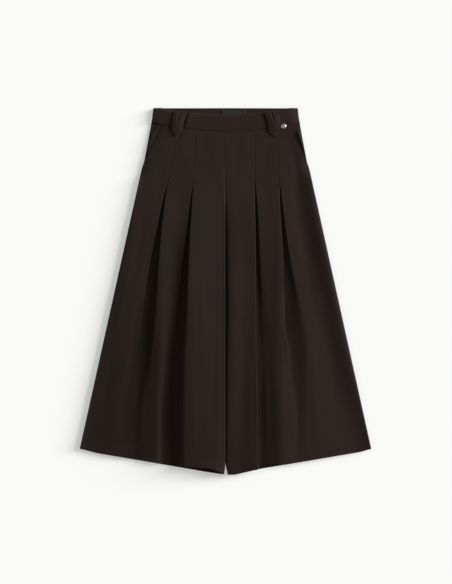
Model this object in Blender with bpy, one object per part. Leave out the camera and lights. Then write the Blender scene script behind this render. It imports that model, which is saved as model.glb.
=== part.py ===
"""Palazzo trousers laid flat, front up, with the waist towards +Y and the underside on z = 0.

Left and right are as seen from above. A place on the trousers is given as its distance out from
the centre line, its drop below the waist's top edge and its height, all in millimetres.
Each leg's front is one sheet with two inverted pleats. They are stitched shut from the band down
to a drop of about 190 mm, and open below it into the folds that run to the hem.
"""

import math
from collections import namedtuple

import bmesh
import bpy
import numpy as np

MM = 0.001

# Overall sizes, mm
LENGTH = 943.4
CLOTH = 1.2
FACING_CLOTH = 1.0
BACK_CLOTH = 1.5
BAND_CLOTH = 2.4
LOOP_CLOTH = 1.6
SEAM_GAP = 0.3

# Waistband
BACK_BAND_DEPTH = 43.7
FRONT_SEAM_DROP = 59.5
FRONT_SEAM_RISE = 23.5
FRONT_SEAM_POWER = 1.8
FRONT_SEAM_REACH = 190.0
FRONT_DIP = 15.8
FRONT_DIP_REACH = 165.0
BAND_HEIGHT = 7.2
BAND_SIDE_HEIGHT = 3.9
BAND_CORNER = 3.0
BAND_COLUMNS = 30
BAND_ROWS = 4
BAND_CROWN = 0.3
BAND_TURN = 26.0
BAND_EDGE_TOP = 10.0
BAND_EDGE_FALL = 20.0

# Pleats
LAYER_STEP = 2.2
EDGE_ROUND = 0.5
NEAR_EDGE = 2.0
LIP_WIDTH = 2.0
LIP_FULL = 215.0
HEM_LIFT_POWER = 10.0
NOTCH_LENGTH = 27.0
NOTCH_REACH = 30.0
ROWS = 20
ROW_POWER = 1.3
FLOOR_HEIGHT = BACK_CLOTH + SEAM_GAP + CLOTH / 2

# Sides: half the width at each drop. The step from 139 to 154 is the pocket's lower end.
SideRow = namedtuple("SideRow", "drop half_width")
SIDES = (
    SideRow(0, 183.4),
    SideRow(3, 184.0),
    SideRow(139, 209.6),
    SideRow(154, 215.3),
    SideRow(874, 374.6),
)

# Hems: the lowest line of each leg.
HemRow = namedtuple("HemRow", "out drop")
LEFT_HEM = (
    HemRow(4, 941.5),
    HemRow(9, 942.4),
    HemRow(54, 935.6),
    HemRow(332, 887.9),
    HemRow(374.6, 876.5),
)
RIGHT_HEM = (
    HemRow(6, 943.4),
    HemRow(24, 943.2),
    HemRow(70, 932.2),
    HemRow(348, 885.0),
    HemRow(374.6, 876.5),
)

# Pockets: the slanted mouth runs from the band's seam to the side.
PocketRow = namedtuple("PocketRow", "drop mouth left_height right_height")
POCKET = (
    PocketRow(40, 161.0, 7.0, 7.6),
    PocketRow(68, 172.6, 7.0, 8.2),
    PocketRow(113, 199.0, 7.0, 8.0),
    PocketRow(132, 206.6, 6.0, 6.6),
    PocketRow(147, 212.4, 4.2, 4.2),
    PocketRow(165, 217.7, FLOOR_HEIGHT, FLOOR_HEIGHT),
)
POCKET_END = 147.0
FACING_END = 143.0
FACING_HEIGHT = 2.4
FACING_INSET = 0.1
FACING_TOP_OUT = 180.0
FACING_ROWS = 10
# A facing lies over the back band down to FACING_HIGH, and on the back panel from FACING_LOW.
FACING_HIGH = 113.0
FACING_LOW = 135.0
# Its roll behind the mouth starts at FACING_SHUT, is full from FACING_OPEN to FACING_FULL, and is
# gone from FACING_FLAT.
FACING_SHUT = 50.0
FACING_OPEN = 70.0
FACING_FULL = 92.0
FACING_FLAT = 126.0
FacingRoll = namedtuple("FacingRoll", "crest mouth")
LEFT_ROLL = FacingRoll(2.3, 1.6)
RIGHT_ROLL = FacingRoll(4.3, 0.1)
# Across a facing: the part of its width past the mouth, the reach under the front in mm, and the
# parts of the crest's and the mouth's rise.
FacingPoint = namedtuple("FacingPoint", "width reach crest mouth")
FACING = (
    FacingPoint(0.0, 18.0, 0.0, 0.0),
    FacingPoint(0.0, 9.0, 0.0, 0.0),
    FacingPoint(0.0, 2.0, 0.0, 0.7),
    FacingPoint(0.34, 0.0, 0.0, 1.0),
    FacingPoint(0.56, 0.0, 0.5, 0.5),
    FacingPoint(0.7, 0.0, 1.0, 0.0),
    FacingPoint(0.86, 0.0, 0.65, 0.0),
    FacingPoint(0.95, 0.0, 0.12, 0.0),
    FacingPoint(1.0, 0.0, 0.0, 0.0),
)

# The folds. Each row holds one fold line's distance out and height at these drops.
STATIONS = (60, 147, 193, 245, 300, 400, 520, 650, 780, 900)
Fold = namedtuple("Fold", "name out height hem_lift")
Pleat = namedtuple("Pleat", "outer floor inner outer_ease inner_ease")
# How far a pleat's cloth goes back under its edge, at the same drops
FOLD_UNDER = (14, 14, 14, 13.5, 12, 9, 6, 4, 3, 2)
# One side of a pleat that has opened: the part of its run and the part of its rise
SlopePoint = namedtuple("SlopePoint", "run rise")
SLOPE = (
    SlopePoint(0.0, 1.0),
    SlopePoint(0.16, 0.88),
    SlopePoint(0.32, 0.7),
    SlopePoint(0.48, 0.5),
    SlopePoint(0.64, 0.3),
    SlopePoint(0.82, 0.12),
)

LEFT_SIDE_FOLDS = (
    Fold("side_roll", (158, 199, 216, 230, 242, 265, 291, 320, 349, 368),
         (7, 6.6, 7, 8.2, 9.2, 9.4, 8.8, 8, 7.4, 7.2), 1.5),
    Fold("side_valley", (151, 186, 196, 208, 220, 240, 262, 282, 306, 322),
         (7, 7.4, 7.8, 8.8, 9.6, 10.2, 10.2, 9.6, 9, 8.6), 1.5),
    Fold("outer_panel", (140, 162, 174, 186, 198, 218, 238, 256, 283, 292),
         (7, 7.6, 8.2, 9.4, 10.4, 11.2, 11, 10.2, 10, 9.8), 1.5),
)
LEFT_PLEAT_1 = Pleat(
    Fold("outer", (127.75, 138.75, 150.45, 163.5, 174.5, 195, 216, 238, 256, 262),
         (7, 7.6, 8.6, 10, 10.6, 10.2, 8.6, 7.8, 8.2, 8.6), 1.5),
    Fold("floor", (127.5, 138.5, 150, 160, 169, 184, 199, 213, 230, 236),
         (2.6, 2.6, 2.6, 2.6, 2.8, 3, 3.4, 5, 6.8, 7.2), 2.0),
    Fold("inner", (127, 138, 149.7, 157, 163.5, 172, 179, 190, 204, 206),
         (7, 7.6, 8.6, 11, 13.5, 16.3, 16.4, 13, 10.6, 10.6), 2.5),
    (0, 0, 0, 0, 0, 0.1, 0.5, 1, 1, 1),
    (0, 0, 0, 0, 0.05, 0.2, 0.45, 0.8, 1, 1),
)
LEFT_MIDDLE_FOLDS = (
    Fold("ridge", (112, 121, 130, 137, 144, 155, 160, 164, 171, 172),
         (7, 7.6, 8.6, 11, 13.5, 16.5, 18, 17.2, 15, 14), 2.5),
    Fold("slope", (94, 100, 106, 112, 118, 129, 140, 153, 163, 165),
         (7, 7.6, 8.6, 10, 11, 11, 9.5, 7.5, 6.5, 6.5), 2.0),
)
LEFT_PLEAT_2 = Pleat(
    Fold("outer", (77.65, 80.95, 84.15, 91.6, 98, 110.5, 124, 143, 154, 157),
         (7, 7.6, 8.6, 10.6, 12, 11, 8, 5, 4.5, 4.5), 1.5),
    Fold("floor", (77.5, 80.8, 84, 89, 93.5, 103, 112, 122, 129, 131),
         (2.6, 2.6, 2.6, 2.6, 2.8, 3, 3, 3, 3, 3), 2.5),
    Fold("inner", (77, 80.3, 83.5, 87, 90, 95, 99, 106, 109, 109),
         (7, 7.6, 8.6, 12, 16, 22, 26.8, 27.6, 26.8, 23.2), 6.0),
    (0, 0, 0, 0, 0.05, 0.35, 0.8, 1, 1, 1),
    (0, 0, 0, 0, 0.1, 0.3, 0.6, 0.9, 1, 1),
)
LEFT_INNER_FOLDS = (
    Fold("ridge", (62, 66, 68, 70, 72, 76, 78, 78, 78, 77),
         (7, 7.6, 8.6, 12, 16, 22, 27.5, 29.2, 28.6, 25), 9.0),
    Fold("shallow", (44, 46, 47, 48, 48, 48.6, 48.6, 45, 39, 36),
         (7, 7.6, 8.6, 11.6, 15, 20.2, 25.6, 27.8, 28.2, 24.6), 13.5),
    Fold("inner_ridge", (22, 22, 22, 20, 18, 16, 14, 15, 18, 20),
         (7, 7.6, 8.6, 11.5, 14.8, 19.6, 24.8, 27.4, 28.8, 24), 9.0),
)
LEFT_CENTRE_FOLDS = (
    Fold("shoulder", (12, 12, 10, 6, 4, 3, 2.8, 2.8, 2.8, 3.4),
         (7, 7.6, 8.6, 11.4, 14.6, 19.4, 24.4, 26.8, 27.4, 20.2), 1.0),
    Fold("crest", (8, 8, 5, 2.6, 1.6, 1.3, 1.3, 1.3, 1.3, 1.6),
         (7, 7.6, 8.6, 11.7, 15.2, 20.4, 25.8, 28.2, 28.8, 21), 1.0),
    Fold("rise", (3, 3, 3, 1.8, 1.2, 1.05, 1.05, 1.05, 1.05, 1.2),
         (7, 7.5, 8.1, 11, 13.8, 16, 19, 20, 20, 14), 0.5),
    Fold("lip", (1.6, 1.6, 1.6, 1.2, 1, 0.95, 0.95, 0.95, 0.95, 1),
         (7, 7.4, 7.9, 10.2, 9.6, 7, 8, 9, 9, 6), 0.5),
    Fold("edge", (0.25, 0.25, 0.3, 0.4, 0.6, 0.85, 0.85, 0.85, 0.85, 0.85),
         (7, 7.3, 7.7, 9.6, 8, 3.4, 2.4, 2.4, 2.4, 2.4), 0.5),
)

RIGHT_SIDE_FOLDS = (
    Fold("side_roll", (158, 199, 210, 224, 237, 260, 286, 315, 345, 365),
         (7.6, 6.8, 10.6, 12.4, 13, 13, 13.2, 12.8, 10.8, 9), 1.0),
    Fold("side_valley", (151, 180, 184, 191, 201, 223, 250, 282, 314, 332),
         (7.2, 7.2, 5.4, 4.8, 4.9, 5, 5.6, 7, 7.6, 7.8), 1.0),
    Fold("outer_panel", (140, 158, 164, 171, 179, 200, 222, 244, 254, 256),
         (7, 7.6, 7.8, 7.8, 8, 8.6, 9.2, 10, 10.8, 10.7), 1.0),
)
RIGHT_PLEAT_1 = Pleat(
    Fold("outer", (127.65, 134.65, 138.95, 145.2, 152.4, 167.5, 195, 212, 211, 208),
         (7, 7.6, 8.4, 8.7, 9, 9.8, 11, 12.2, 12, 11.6), 1.0),
    Fold("floor", (127.5, 134.5, 138.8, 142.6, 147.6, 157.5, 162, 170, 182, 186),
         (2.6, 2.6, 2.6, 2.6, 2.6, 2.6, 3.4, 6.6, 10, 11), 1.0),
    Fold("inner", (127, 134, 138.3, 140, 143, 148.6, 152, 157, 163, 166),
         (7, 7.6, 8.6, 10.3, 11.2, 10.6, 8.8, 8.6, 11, 11.6), 1.0),
    (0, 0, 0, 0, 0, 0.5, 1, 1, 1, 1),
    (0, 0, 0, 0, 0, 0, 0.2, 1, 1, 1),
)
RIGHT_MIDDLE_FOLDS = (
    Fold("ridge", (113, 121, 127, 131, 135, 139, 141, 146, 146, 150),
         (7, 7.6, 8.6, 10.4, 11.6, 11.6, 10.4, 10.2, 12.2, 12.4), 1.0),
    Fold("slope", (94, 99, 104, 111, 116, 124, 128, 132, 134, 136),
         (7, 7.6, 8.6, 10, 10.8, 10.8, 10, 9.8, 11.4, 11.4), 6.0),
)
RIGHT_PLEAT_2 = Pleat(
    Fold("outer", (74.35, 75.65, 76.6, 80.6, 83.8, 89, 97, 108, 112, 114),
         (7, 7.6, 8.6, 10, 10.2, 9.2, 7, 6.2, 7, 7.2), 8.0),
    Fold("floor", (74.2, 75.5, 76.2, 78.2, 80, 82.6, 84, 86, 89, 91),
         (2.6, 2.6, 2.6, 2.6, 2.8, 3.2, 3.4, 3, 3, 3.2), 11.0),
    Fold("inner", (73.7, 75, 75.8, 75.6, 76.4, 77.6, 78.5, 79, 81.6, 83.4),
         (7, 7.6, 8.6, 12, 15.8, 19.4, 21.2, 21.7, 21.7, 20.2), 1.0),
    (0, 0, 0, 0.1, 0.3, 0.7, 1, 1, 1, 1),
    (0, 0, 0, 0, 0, 0, 0, 0, 0, 0),
)
RIGHT_INNER_FOLDS = (
    Fold("ridge", (60, 62, 63, 64, 66, 68, 69, 69, 70, 71),
         (7, 7.6, 8.6, 12, 15.8, 19.2, 21, 21.5, 21.5, 20), 1.0),
    Fold("shallow", (44, 46, 48, 49, 50, 52, 52, 48, 42, 40),
         (7, 7.6, 8.6, 11.6, 14.9, 18.1, 19.8, 19.4, 18.2, 16.4), 1.0),
    Fold("inner_ridge", (22, 22, 22, 22, 24, 26, 26, 26, 24, 22),
         (7, 7.6, 8.6, 11.6, 14.9, 19, 21.6, 21.4, 19.6, 17.4), 1.0),
)
RIGHT_CENTRE_FOLDS = (
    Fold("shoulder", (12, 12, 12, 12, 12, 12, 12, 12, 12, 12),
         (7, 7.6, 8.5, 11.4, 14.4, 18.4, 21, 21, 19.6, 17), 1.0),
    Fold("crest", (7, 7, 7, 7, 7, 7, 6.6, 5.6, 4, 4),
         (7, 7.6, 8.4, 11.2, 13.6, 16.8, 19.2, 20.2, 19, 16.6), 1.0),
    Fold("rise", (3, 3, 3, 3, 3, 3, 2.8, 2.2, 1.6, 1.6),
         (7, 7.5, 8.1, 10.7, 12.2, 13.4, 15.6, 17.8, 17.8, 15.6), 0.5),
    Fold("lip", (1.6, 1.6, 1.6, 1.4, 1.5, 1.8, 1.6, 1.4, 1.1, 1.1),
         (7, 7.4, 7.9, 10.2, 10.4, 9.2, 10, 13, 13.4, 11), 0.5),
    Fold("edge", (0.25, 0.25, 0.3, 0.4, 0.6, 0.85, 0.85, 0.85, 0.85, 0.85),
         (7, 7.3, 7.7, 9.6, 8, 3.4, 2.4, 2.4, 2.4, 2.4), 0.5),
)

Leg = namedtuple("Leg", "name sign hem notch lip roll side_folds pleat_1 middle_folds pleat_2 "
                 "inner_folds centre_folds")
LEGS = (
    Leg("left", -1, LEFT_HEM, 3.6, 6.0, LEFT_ROLL, LEFT_SIDE_FOLDS, LEFT_PLEAT_1,
        LEFT_MIDDLE_FOLDS, LEFT_PLEAT_2, LEFT_INNER_FOLDS, LEFT_CENTRE_FOLDS),
    Leg("right", 1, RIGHT_HEM, 6.0, 8.5, RIGHT_ROLL, RIGHT_SIDE_FOLDS, RIGHT_PLEAT_1,
        RIGHT_MIDDLE_FOLDS, RIGHT_PLEAT_2, RIGHT_INNER_FOLDS, RIGHT_CENTRE_FOLDS),
)

# Belt loops: both edges at each drop, the strap's height there and its rise between them
LoopRow = namedtuple("LoopRow", "drop medial lateral height bow")
LOOP = (
    LoopRow(9, 98.5, 136, 9.8, 0.5),
    LoopRow(14, 100, 137, 9.9, 1.0),
    LoopRow(20, 102, 138, 10.2, 1.4),
    LoopRow(31, 106, 140, 10.4, 1.6),
    LoopRow(42, 108.5, 142, 10.2, 1.5),
    LoopRow(49, 109.5, 142.5, 9.9, 1.2),
    LoopRow(55, 110.5, 142, 9.6, 0.9),
    LoopRow(62, 112.5, 140, 9.1, 0.6),
    LoopRow(68, 119, 134.5, 9.0, 0.3),
    LoopRow(74, 125.5, 128.5, 8.9, 0.1),
)
LOOP_COLUMNS = 5

# Stud and label
STUD_OUT = 150.0
STUD_DROP = 46.5
STUD_RADIUS = 6.5
STUD_THICKNESS = 2.4
STUD_BASE = 8.9
STUD_SIDES = 28
# The stud's profile, as parts of its thickness and radius
StudRing = namedtuple("StudRing", "height radius")
STUD_RINGS = (
    StudRing(0.0, 1.0),
    StudRing(0.35, 1.0),
    StudRing(0.62, 0.93),
    StudRing(0.85, 0.76),
    StudRing(1.0, 0.5),
)
LABEL_LEFT = -10.0
LABEL_RIGHT = 52.0
LABEL_TOP = 5.0
LABEL_BOTTOM = 29.0
LABEL_CLOTH = 0.8

# Colours, linear: colour, roughness, metallic
MATERIALS = {
    "cloth": ((0.028, 0.0195, 0.016), 0.85, 0.0),
    "label": ((0.03, 0.03, 0.031), 0.7, 0.0),
    "stud": ((0.78, 0.72, 0.7), 0.25, 1.0),
}


def clear_scene():
    for obj in list(bpy.data.objects):
        bpy.data.objects.remove(obj, do_unlink=True)


def smooth_curve(xs, ys, x):
    """A smooth curve through a table's points that never swings past them."""
    xs = np.asarray(xs, float)
    ys = np.asarray(ys, float)
    x = np.clip(x, xs[0], xs[-1])
    step = np.diff(xs)
    slope = np.diff(ys) / step
    tangent = np.zeros(len(xs))
    for i in range(1, len(xs) - 1):
        if slope[i - 1] * slope[i] > 0:
            tangent[i] = 2 * slope[i - 1] * slope[i] / (slope[i - 1] + slope[i])
    tangent[0] = slope[0]
    tangent[-1] = slope[-1]
    i = np.clip(np.searchsorted(xs, x, side="right") - 1, 0, len(step) - 1)
    t = (x - xs[i]) / step[i]
    return (
        ys[i] * (1 + 2 * t) * (1 - t) ** 2
        + step[i] * tangent[i] * t * (1 - t) ** 2
        + ys[i + 1] * t**2 * (3 - 2 * t)
        - step[i] * tangent[i + 1] * t**2 * (1 - t)
    )


def column(table, field):
    return [getattr(row, field) for row in table]


def side_out(drop):
    return float(np.interp(drop, column(SIDES, "drop"), column(SIDES, "half_width")))


def hem_drop(leg, out):
    return float(np.interp(out, column(leg.hem, "out"), column(leg.hem, "drop")))


def seam_drop(out):
    """The seam below the front band, which sags towards the centre."""
    across = min(1.0, out / FRONT_SEAM_REACH)
    return FRONT_SEAM_DROP - FRONT_SEAM_RISE * across**FRONT_SEAM_POWER


def band_top_drop(out):
    """The front band's top edge, which dips below the back's."""
    return FRONT_DIP * max(0.0, 1 - (out / FRONT_DIP_REACH) ** 2)


def pocket_out(drop):
    return float(np.interp(drop, column(POCKET, "drop"), column(POCKET, "mouth")))


def notch_out(leg, drop):
    """How far the inner leg stands off the centre line at the hem."""
    low = hem_drop(leg, leg.hem[0].out)
    return leg.notch * max(0.0, (drop - low + NOTCH_LENGTH) / NOTCH_LENGTH)


def place(leg, out, drop, height):
    """A point in millimetres in the part's frame."""
    return np.array((leg.sign * out, LENGTH / 2 - drop, height))


def drop_at(leg, out, v, hem_lift):
    """The drop at a fraction of the way down the front, from the seam to the hem."""
    top = seam_drop(out) + SEAM_GAP
    return top + v * (hem_drop(leg, out) - top) - hem_lift * v**HEM_LIFT_POWER


def fold_point(leg, fold, v):
    """(out, hem lift, height) of a fold line at a fraction of the way down."""
    out = fold.out[len(STATIONS) // 2]
    for _ in range(3):
        drop = drop_at(leg, out, v, fold.hem_lift)
        out = float(smooth_curve(STATIONS, fold.out, drop))
    out += notch_out(leg, drop) * max(0.0, 1 - out / NOTCH_REACH)
    return np.array((out, fold.hem_lift, float(smooth_curve(STATIONS, fold.height, drop))))


def side_points(leg, v):
    """The front's outer edge: the pocket's mouth at the top and the side seam below it."""
    out = side_out(STATIONS[len(STATIONS) // 2])
    for _ in range(4):
        drop = drop_at(leg, out, v, 0.0)
        out = min(pocket_out(drop), side_out(drop)) if drop < POCKET[-1].drop else side_out(drop)
    height = float(smooth_curve(column(POCKET, "drop"), column(POCKET, leg.name + "_height"), drop))
    rise = leg.lip * min(1.0, max(0.0, (drop - POCKET_END) / (LIP_FULL - POCKET_END)))
    return [np.array((out, 0, height)), np.array((out - LIP_WIDTH / 2, 0, height + rise / 4)),
            np.array((out - LIP_WIDTH, 0, height + rise))]


def pleat_side(fold, floor, turn, under, ease):
    """One side of a pleat: over its edge, back under the panel, and out along the underlay.

    turn is +1 on the outer side and -1 on the inner. ease goes from 0, folded, to 1, a plain slope.
    """
    out, lift, high = fold
    low = floor[2]
    edge = out + turn * CLOTH / 2
    back = out + turn * under
    folded = (
        (edge + turn * EDGE_ROUND, high),
        (edge - turn * EDGE_ROUND, high - LAYER_STEP / 2),
        (edge + turn * EDGE_ROUND, high - LAYER_STEP),
        (back - turn * EDGE_ROUND, low + LAYER_STEP),
        (back + turn * EDGE_ROUND, low + LAYER_STEP / 2),
        (back - turn * EDGE_ROUND, low),
    )
    open_side = [(out + point.run * (floor[0] - out), low + point.rise * (high - low)) for point in SLOPE]
    points = []
    for (a, p), (b, q) in zip(folded, open_side):
        points.append(np.array((a + ease * (b - a), lift, p + ease * (q - p))))
    return points


def pleat_points(leg, outside, pleat, inside, v):
    """Control points across a pleat, from its outer edge to its inner one.

    outside and inside are the folds next to it. An open side runs on smoothly to them.
    """
    outer = fold_point(leg, pleat.outer, v)
    floor = fold_point(leg, pleat.floor, v)
    inner = fold_point(leg, pleat.inner, v)
    drop = drop_at(leg, floor[0], v, 0)
    under = float(smooth_curve(STATIONS, FOLD_UNDER, drop))
    ease_out = float(smooth_curve(STATIONS, pleat.outer_ease, drop))
    ease_in = float(smooth_curve(STATIONS, pleat.inner_ease, drop))
    before = outer + (NEAR_EDGE, 0, 0)
    before += ease_out * ((outer + fold_point(leg, outside, v)) / 2 - before)
    after = inner - (NEAR_EDGE, 0, 0)
    after += ease_in * ((inner + fold_point(leg, inside, v)) / 2 - after)
    down = pleat_side(outer, floor, 1, under, ease_out)
    up = pleat_side(inner, floor, -1, under, ease_in)
    return [before, *down, floor, *reversed(up), after]


def front_section(leg, v):
    """Control points across a leg's front, from the side to the centre."""
    points = side_points(leg, v)
    points += [fold_point(leg, fold, v) for fold in leg.side_folds]
    points += pleat_points(leg, leg.side_folds[-1], leg.pleat_1, leg.middle_folds[0], v)
    points += [fold_point(leg, fold, v) for fold in leg.middle_folds]
    points += pleat_points(leg, leg.middle_folds[-1], leg.pleat_2, leg.inner_folds[0], v)
    points += [fold_point(leg, fold, v) for fold in leg.inner_folds]
    points += [fold_point(leg, fold, v) for fold in leg.centre_folds]
    return np.array(points)


def spline(points):
    """The points where a uniform cubic B-spline passes its control points. It keeps both ends."""
    inner = (points[:-2] + 4 * points[1:-1] + points[2:]) / 6
    return np.vstack((points[:1], inner, points[-1:]))


def tangents(grid, axis):
    """The directions of the grid's lines, halfway between those of the steps on both sides."""
    step = np.diff(grid, axis=axis)
    step = step / np.linalg.norm(step, axis=2, keepdims=True)
    first, last = np.take(step, [0], axis=axis), np.take(step, [-1], axis=axis)
    return np.concatenate((first, step), axis=axis) + np.concatenate((step, last), axis=axis)


def normals(grid):
    normal = np.cross(tangents(grid, 1), tangents(grid, 0))
    return normal / np.linalg.norm(normal, axis=2, keepdims=True)


def solid_sheet(name, grid, thickness):
    """A closed wall of this thickness around a grid of points in millimetres."""
    normal = normals(grid)
    if normal[:, :, 2].mean() < 0:
        grid = grid[:, ::-1]
        normal = normals(grid)
    rows, columns = grid.shape[:2]
    mesh = bmesh.new()
    faces = []
    for side in (0.5, -0.5):
        points = (grid + side * thickness * normal) * MM
        faces.append([[mesh.verts.new(points[i, j]) for j in range(columns)] for i in range(rows)])
    top, bottom = faces
    for i in range(rows - 1):
        for j in range(columns - 1):
            mesh.faces.new((top[i][j], top[i][j + 1], top[i + 1][j + 1], top[i + 1][j]))
            mesh.faces.new((bottom[i][j], bottom[i + 1][j], bottom[i + 1][j + 1], bottom[i][j + 1]))
    around = [(0, j) for j in range(columns)]
    around += [(i, columns - 1) for i in range(1, rows)]
    around += [(rows - 1, j) for j in range(columns - 2, -1, -1)]
    around += [(i, 0) for i in range(rows - 2, 0, -1)]
    for (i, j), (k, m) in zip(around, around[1:] + around[:1]):
        mesh.faces.new((top[i][j], bottom[i][j], bottom[k][m], top[k][m]))
    bmesh.ops.recalc_face_normals(mesh, faces=mesh.faces)
    return add_object(name, mesh)


def add_object(name, mesh):
    data = bpy.data.meshes.new(name)
    mesh.to_mesh(data)
    mesh.free()
    data.shade_smooth()
    data.set_sharp_from_angle(angle=math.radians(50))
    obj = bpy.data.objects.new(name, data)
    bpy.context.scene.collection.objects.link(obj)
    return obj


def plate(name, outline, bottom, thickness):
    """A flat piece from its outline, a list of (x, y) in millimetres."""
    mesh = bmesh.new()
    low = [mesh.verts.new((x * MM, y * MM, bottom * MM)) for x, y in outline]
    face = mesh.faces.new(low)
    made = bmesh.ops.extrude_face_region(mesh, geom=[face])
    lifted = [item for item in made["geom"] if isinstance(item, bmesh.types.BMVert)]
    bmesh.ops.translate(mesh, verts=lifted, vec=(0, 0, thickness * MM))
    bmesh.ops.recalc_face_normals(mesh, faces=mesh.faces)
    return add_object(name, mesh)


def front_leg(leg):
    grid = []
    for i in range(ROWS):
        v = (i / (ROWS - 1)) ** ROW_POWER
        section = spline(front_section(leg, v))
        grid.append([place(leg, out, drop_at(leg, out, v, lift), height) for out, lift, height in section])
    return solid_sheet("front_leg_" + leg.name, np.array(grid), CLOTH)


def back_leg(leg):
    """The back panel, flat on the surface and as wide as the trousers."""
    top = BACK_BAND_DEPTH + SEAM_GAP
    low = hem_drop(leg, leg.hem[0].out)
    outline = [(SEAM_GAP / 2, top), (side_out(top), top)]
    outline += [(row.half_width, row.drop) for row in SIDES if row.drop > top]
    outline += [(row.out, row.drop) for row in reversed(leg.hem)]
    outline += [(SEAM_GAP / 2, low - NOTCH_LENGTH)]
    points = [place(leg, out, drop, 0)[:2] for out, drop in outline]
    return plate("back_leg_" + leg.name, points, 0, BACK_CLOTH)


def waistband_back():
    outline = []
    for sign in (1, -1):
        side = [(side_out(BACK_BAND_DEPTH), BACK_BAND_DEPTH), (side_out(BAND_CORNER), BAND_CORNER)]
        for k in range(1, 4):
            turn = k / 3 * math.pi / 2
            centre = side_out(BAND_CORNER) - BAND_CORNER
            side.append((centre + BAND_CORNER * math.cos(turn), BAND_CORNER * (1 - math.sin(turn))))
        outline += [(sign * out, drop) for out, drop in (side if sign > 0 else reversed(side))]
    points = [(x, LENGTH / 2 - drop) for x, drop in outline]
    return plate("waistband_back", points, 0, BAND_CLOTH)


def waistband_front():
    grid = []
    for i in range(BAND_ROWS + 1):
        v = i / BAND_ROWS
        row = []
        for j in range(BAND_COLUMNS + 1):
            across = math.sin((j / BAND_COLUMNS - 0.5) * math.pi)
            edge = side_out(BAND_EDGE_TOP + BAND_EDGE_FALL * v)
            out = abs(across) * edge
            drop = band_top_drop(out) + v * (seam_drop(out) - band_top_drop(out))
            fall = max(0.0, (out - edge + BAND_TURN) / BAND_TURN)
            height = BAND_HEIGHT + (BAND_SIDE_HEIGHT - BAND_HEIGHT) * fall**2
            height += BAND_CROWN * math.sin(math.pi * v) * (1 - fall)
            row.append((math.copysign(out, across), LENGTH / 2 - drop, height))
        grid.append(row)
    return solid_sheet("waistband_front", np.array(grid), BAND_CLOTH)


def fading(drop, full, gone):
    """1 down to one drop, and 0 from the other."""
    return min(1.0, max(0.0, (gone - drop) / (gone - full)))


def pocket_facing(leg):
    """The facing behind a pocket's mouth. It closes the hip out to the side seam."""
    top = seam_drop(FACING_TOP_OUT) + SEAM_GAP
    grid = []
    for i in range(FACING_ROWS + 1):
        drop = top + i / FACING_ROWS * (FACING_END - top)
        mouth = pocket_out(drop)
        width = side_out(drop) - FACING_INSET - mouth
        puff = fading(drop, FACING_FULL, FACING_FLAT)
        crest = leg.roll.crest * (1 - fading(drop, FACING_SHUT, FACING_OPEN))
        base = FACING_HEIGHT + (BAND_CLOTH - BACK_CLOTH) * fading(drop, FACING_HIGH, FACING_LOW)
        row = []
        for point in FACING:
            out = mouth + point.width * width - point.reach
            height = base + puff * (point.crest * crest + point.mouth * leg.roll.mouth)
            below_seam = max(drop, seam_drop(out) + SEAM_GAP) if i == 0 else drop
            row.append(place(leg, out, below_seam, height))
        grid.append(row)
    return solid_sheet("pocket_facing_" + leg.name, np.array(grid), FACING_CLOTH)


def belt_loop(leg):
    """A wide strap from the band's top edge to a pointed end below the seam."""
    grid = []
    for loop in LOOP:
        row = []
        for j in range(LOOP_COLUMNS + 1):
            u = j / LOOP_COLUMNS
            out = loop.medial + u * (loop.lateral - loop.medial)
            row.append(place(leg, out, loop.drop, loop.height + loop.bow * math.sin(math.pi * u)))
        grid.append(row)
    return solid_sheet("belt_loop_" + leg.name, np.array(grid), LOOP_CLOTH)


def stud():
    """A plain domed disc."""
    mesh = bmesh.new()
    loops = []
    for ring in STUD_RINGS:
        height = STUD_BASE + ring.height * STUD_THICKNESS
        loop = []
        for k in range(STUD_SIDES):
            turn = 2 * math.pi * k / STUD_SIDES
            x = STUD_OUT + ring.radius * STUD_RADIUS * math.cos(turn)
            y = LENGTH / 2 - STUD_DROP + ring.radius * STUD_RADIUS * math.sin(turn)
            loop.append(mesh.verts.new((x * MM, y * MM, height * MM)))
        loops.append(loop)
    for low, high in zip(loops, loops[1:]):
        for k in range(STUD_SIDES):
            n = (k + 1) % STUD_SIDES
            mesh.faces.new((low[k], low[n], high[n], high[k]))
    mesh.faces.new(list(reversed(loops[0])))
    mesh.faces.new(loops[-1])
    bmesh.ops.recalc_face_normals(mesh, faces=mesh.faces)
    return add_object("stud", mesh)


def waist_label():
    outline = [
        (LABEL_LEFT, LENGTH / 2 - LABEL_BOTTOM),
        (LABEL_RIGHT, LENGTH / 2 - LABEL_BOTTOM),
        (LABEL_RIGHT, LENGTH / 2 - LABEL_TOP),
        (LABEL_LEFT, LENGTH / 2 - LABEL_TOP),
    ]
    return plate("waist_label", outline, BAND_CLOTH + SEAM_GAP, LABEL_CLOTH)


def give_material(obj, name):
    material = bpy.data.materials.get(name)
    if material is None:
        colour, roughness, metallic = MATERIALS[name]
        material = bpy.data.materials.new(name)
        material.use_nodes = True
        shader = material.node_tree.nodes["Principled BSDF"]
        shader.inputs["Base Color"].default_value = (*colour, 1)
        shader.inputs["Roughness"].default_value = roughness
        shader.inputs["Metallic"].default_value = metallic
        material.diffuse_color = (*colour, 1)
    obj.data.materials.append(material)


def main():
    clear_scene()
    for leg in LEGS:
        give_material(back_leg(leg), "cloth")
        give_material(front_leg(leg), "cloth")
        give_material(pocket_facing(leg), "cloth")
        give_material(belt_loop(leg), "cloth")
    give_material(waistband_back(), "cloth")
    give_material(waistband_front(), "cloth")
    give_material(waist_label(), "label")
    give_material(stud(), "stud")


main()
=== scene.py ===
"""The looks of the palazzo trousers, laid flat on a pale surface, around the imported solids.

A place is given as on the solids: its distance out from the centre line, its drop below the waist's
top edge and its height, in millimetres. Left and right are as seen from above.
"""

import math
from collections import namedtuple

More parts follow.
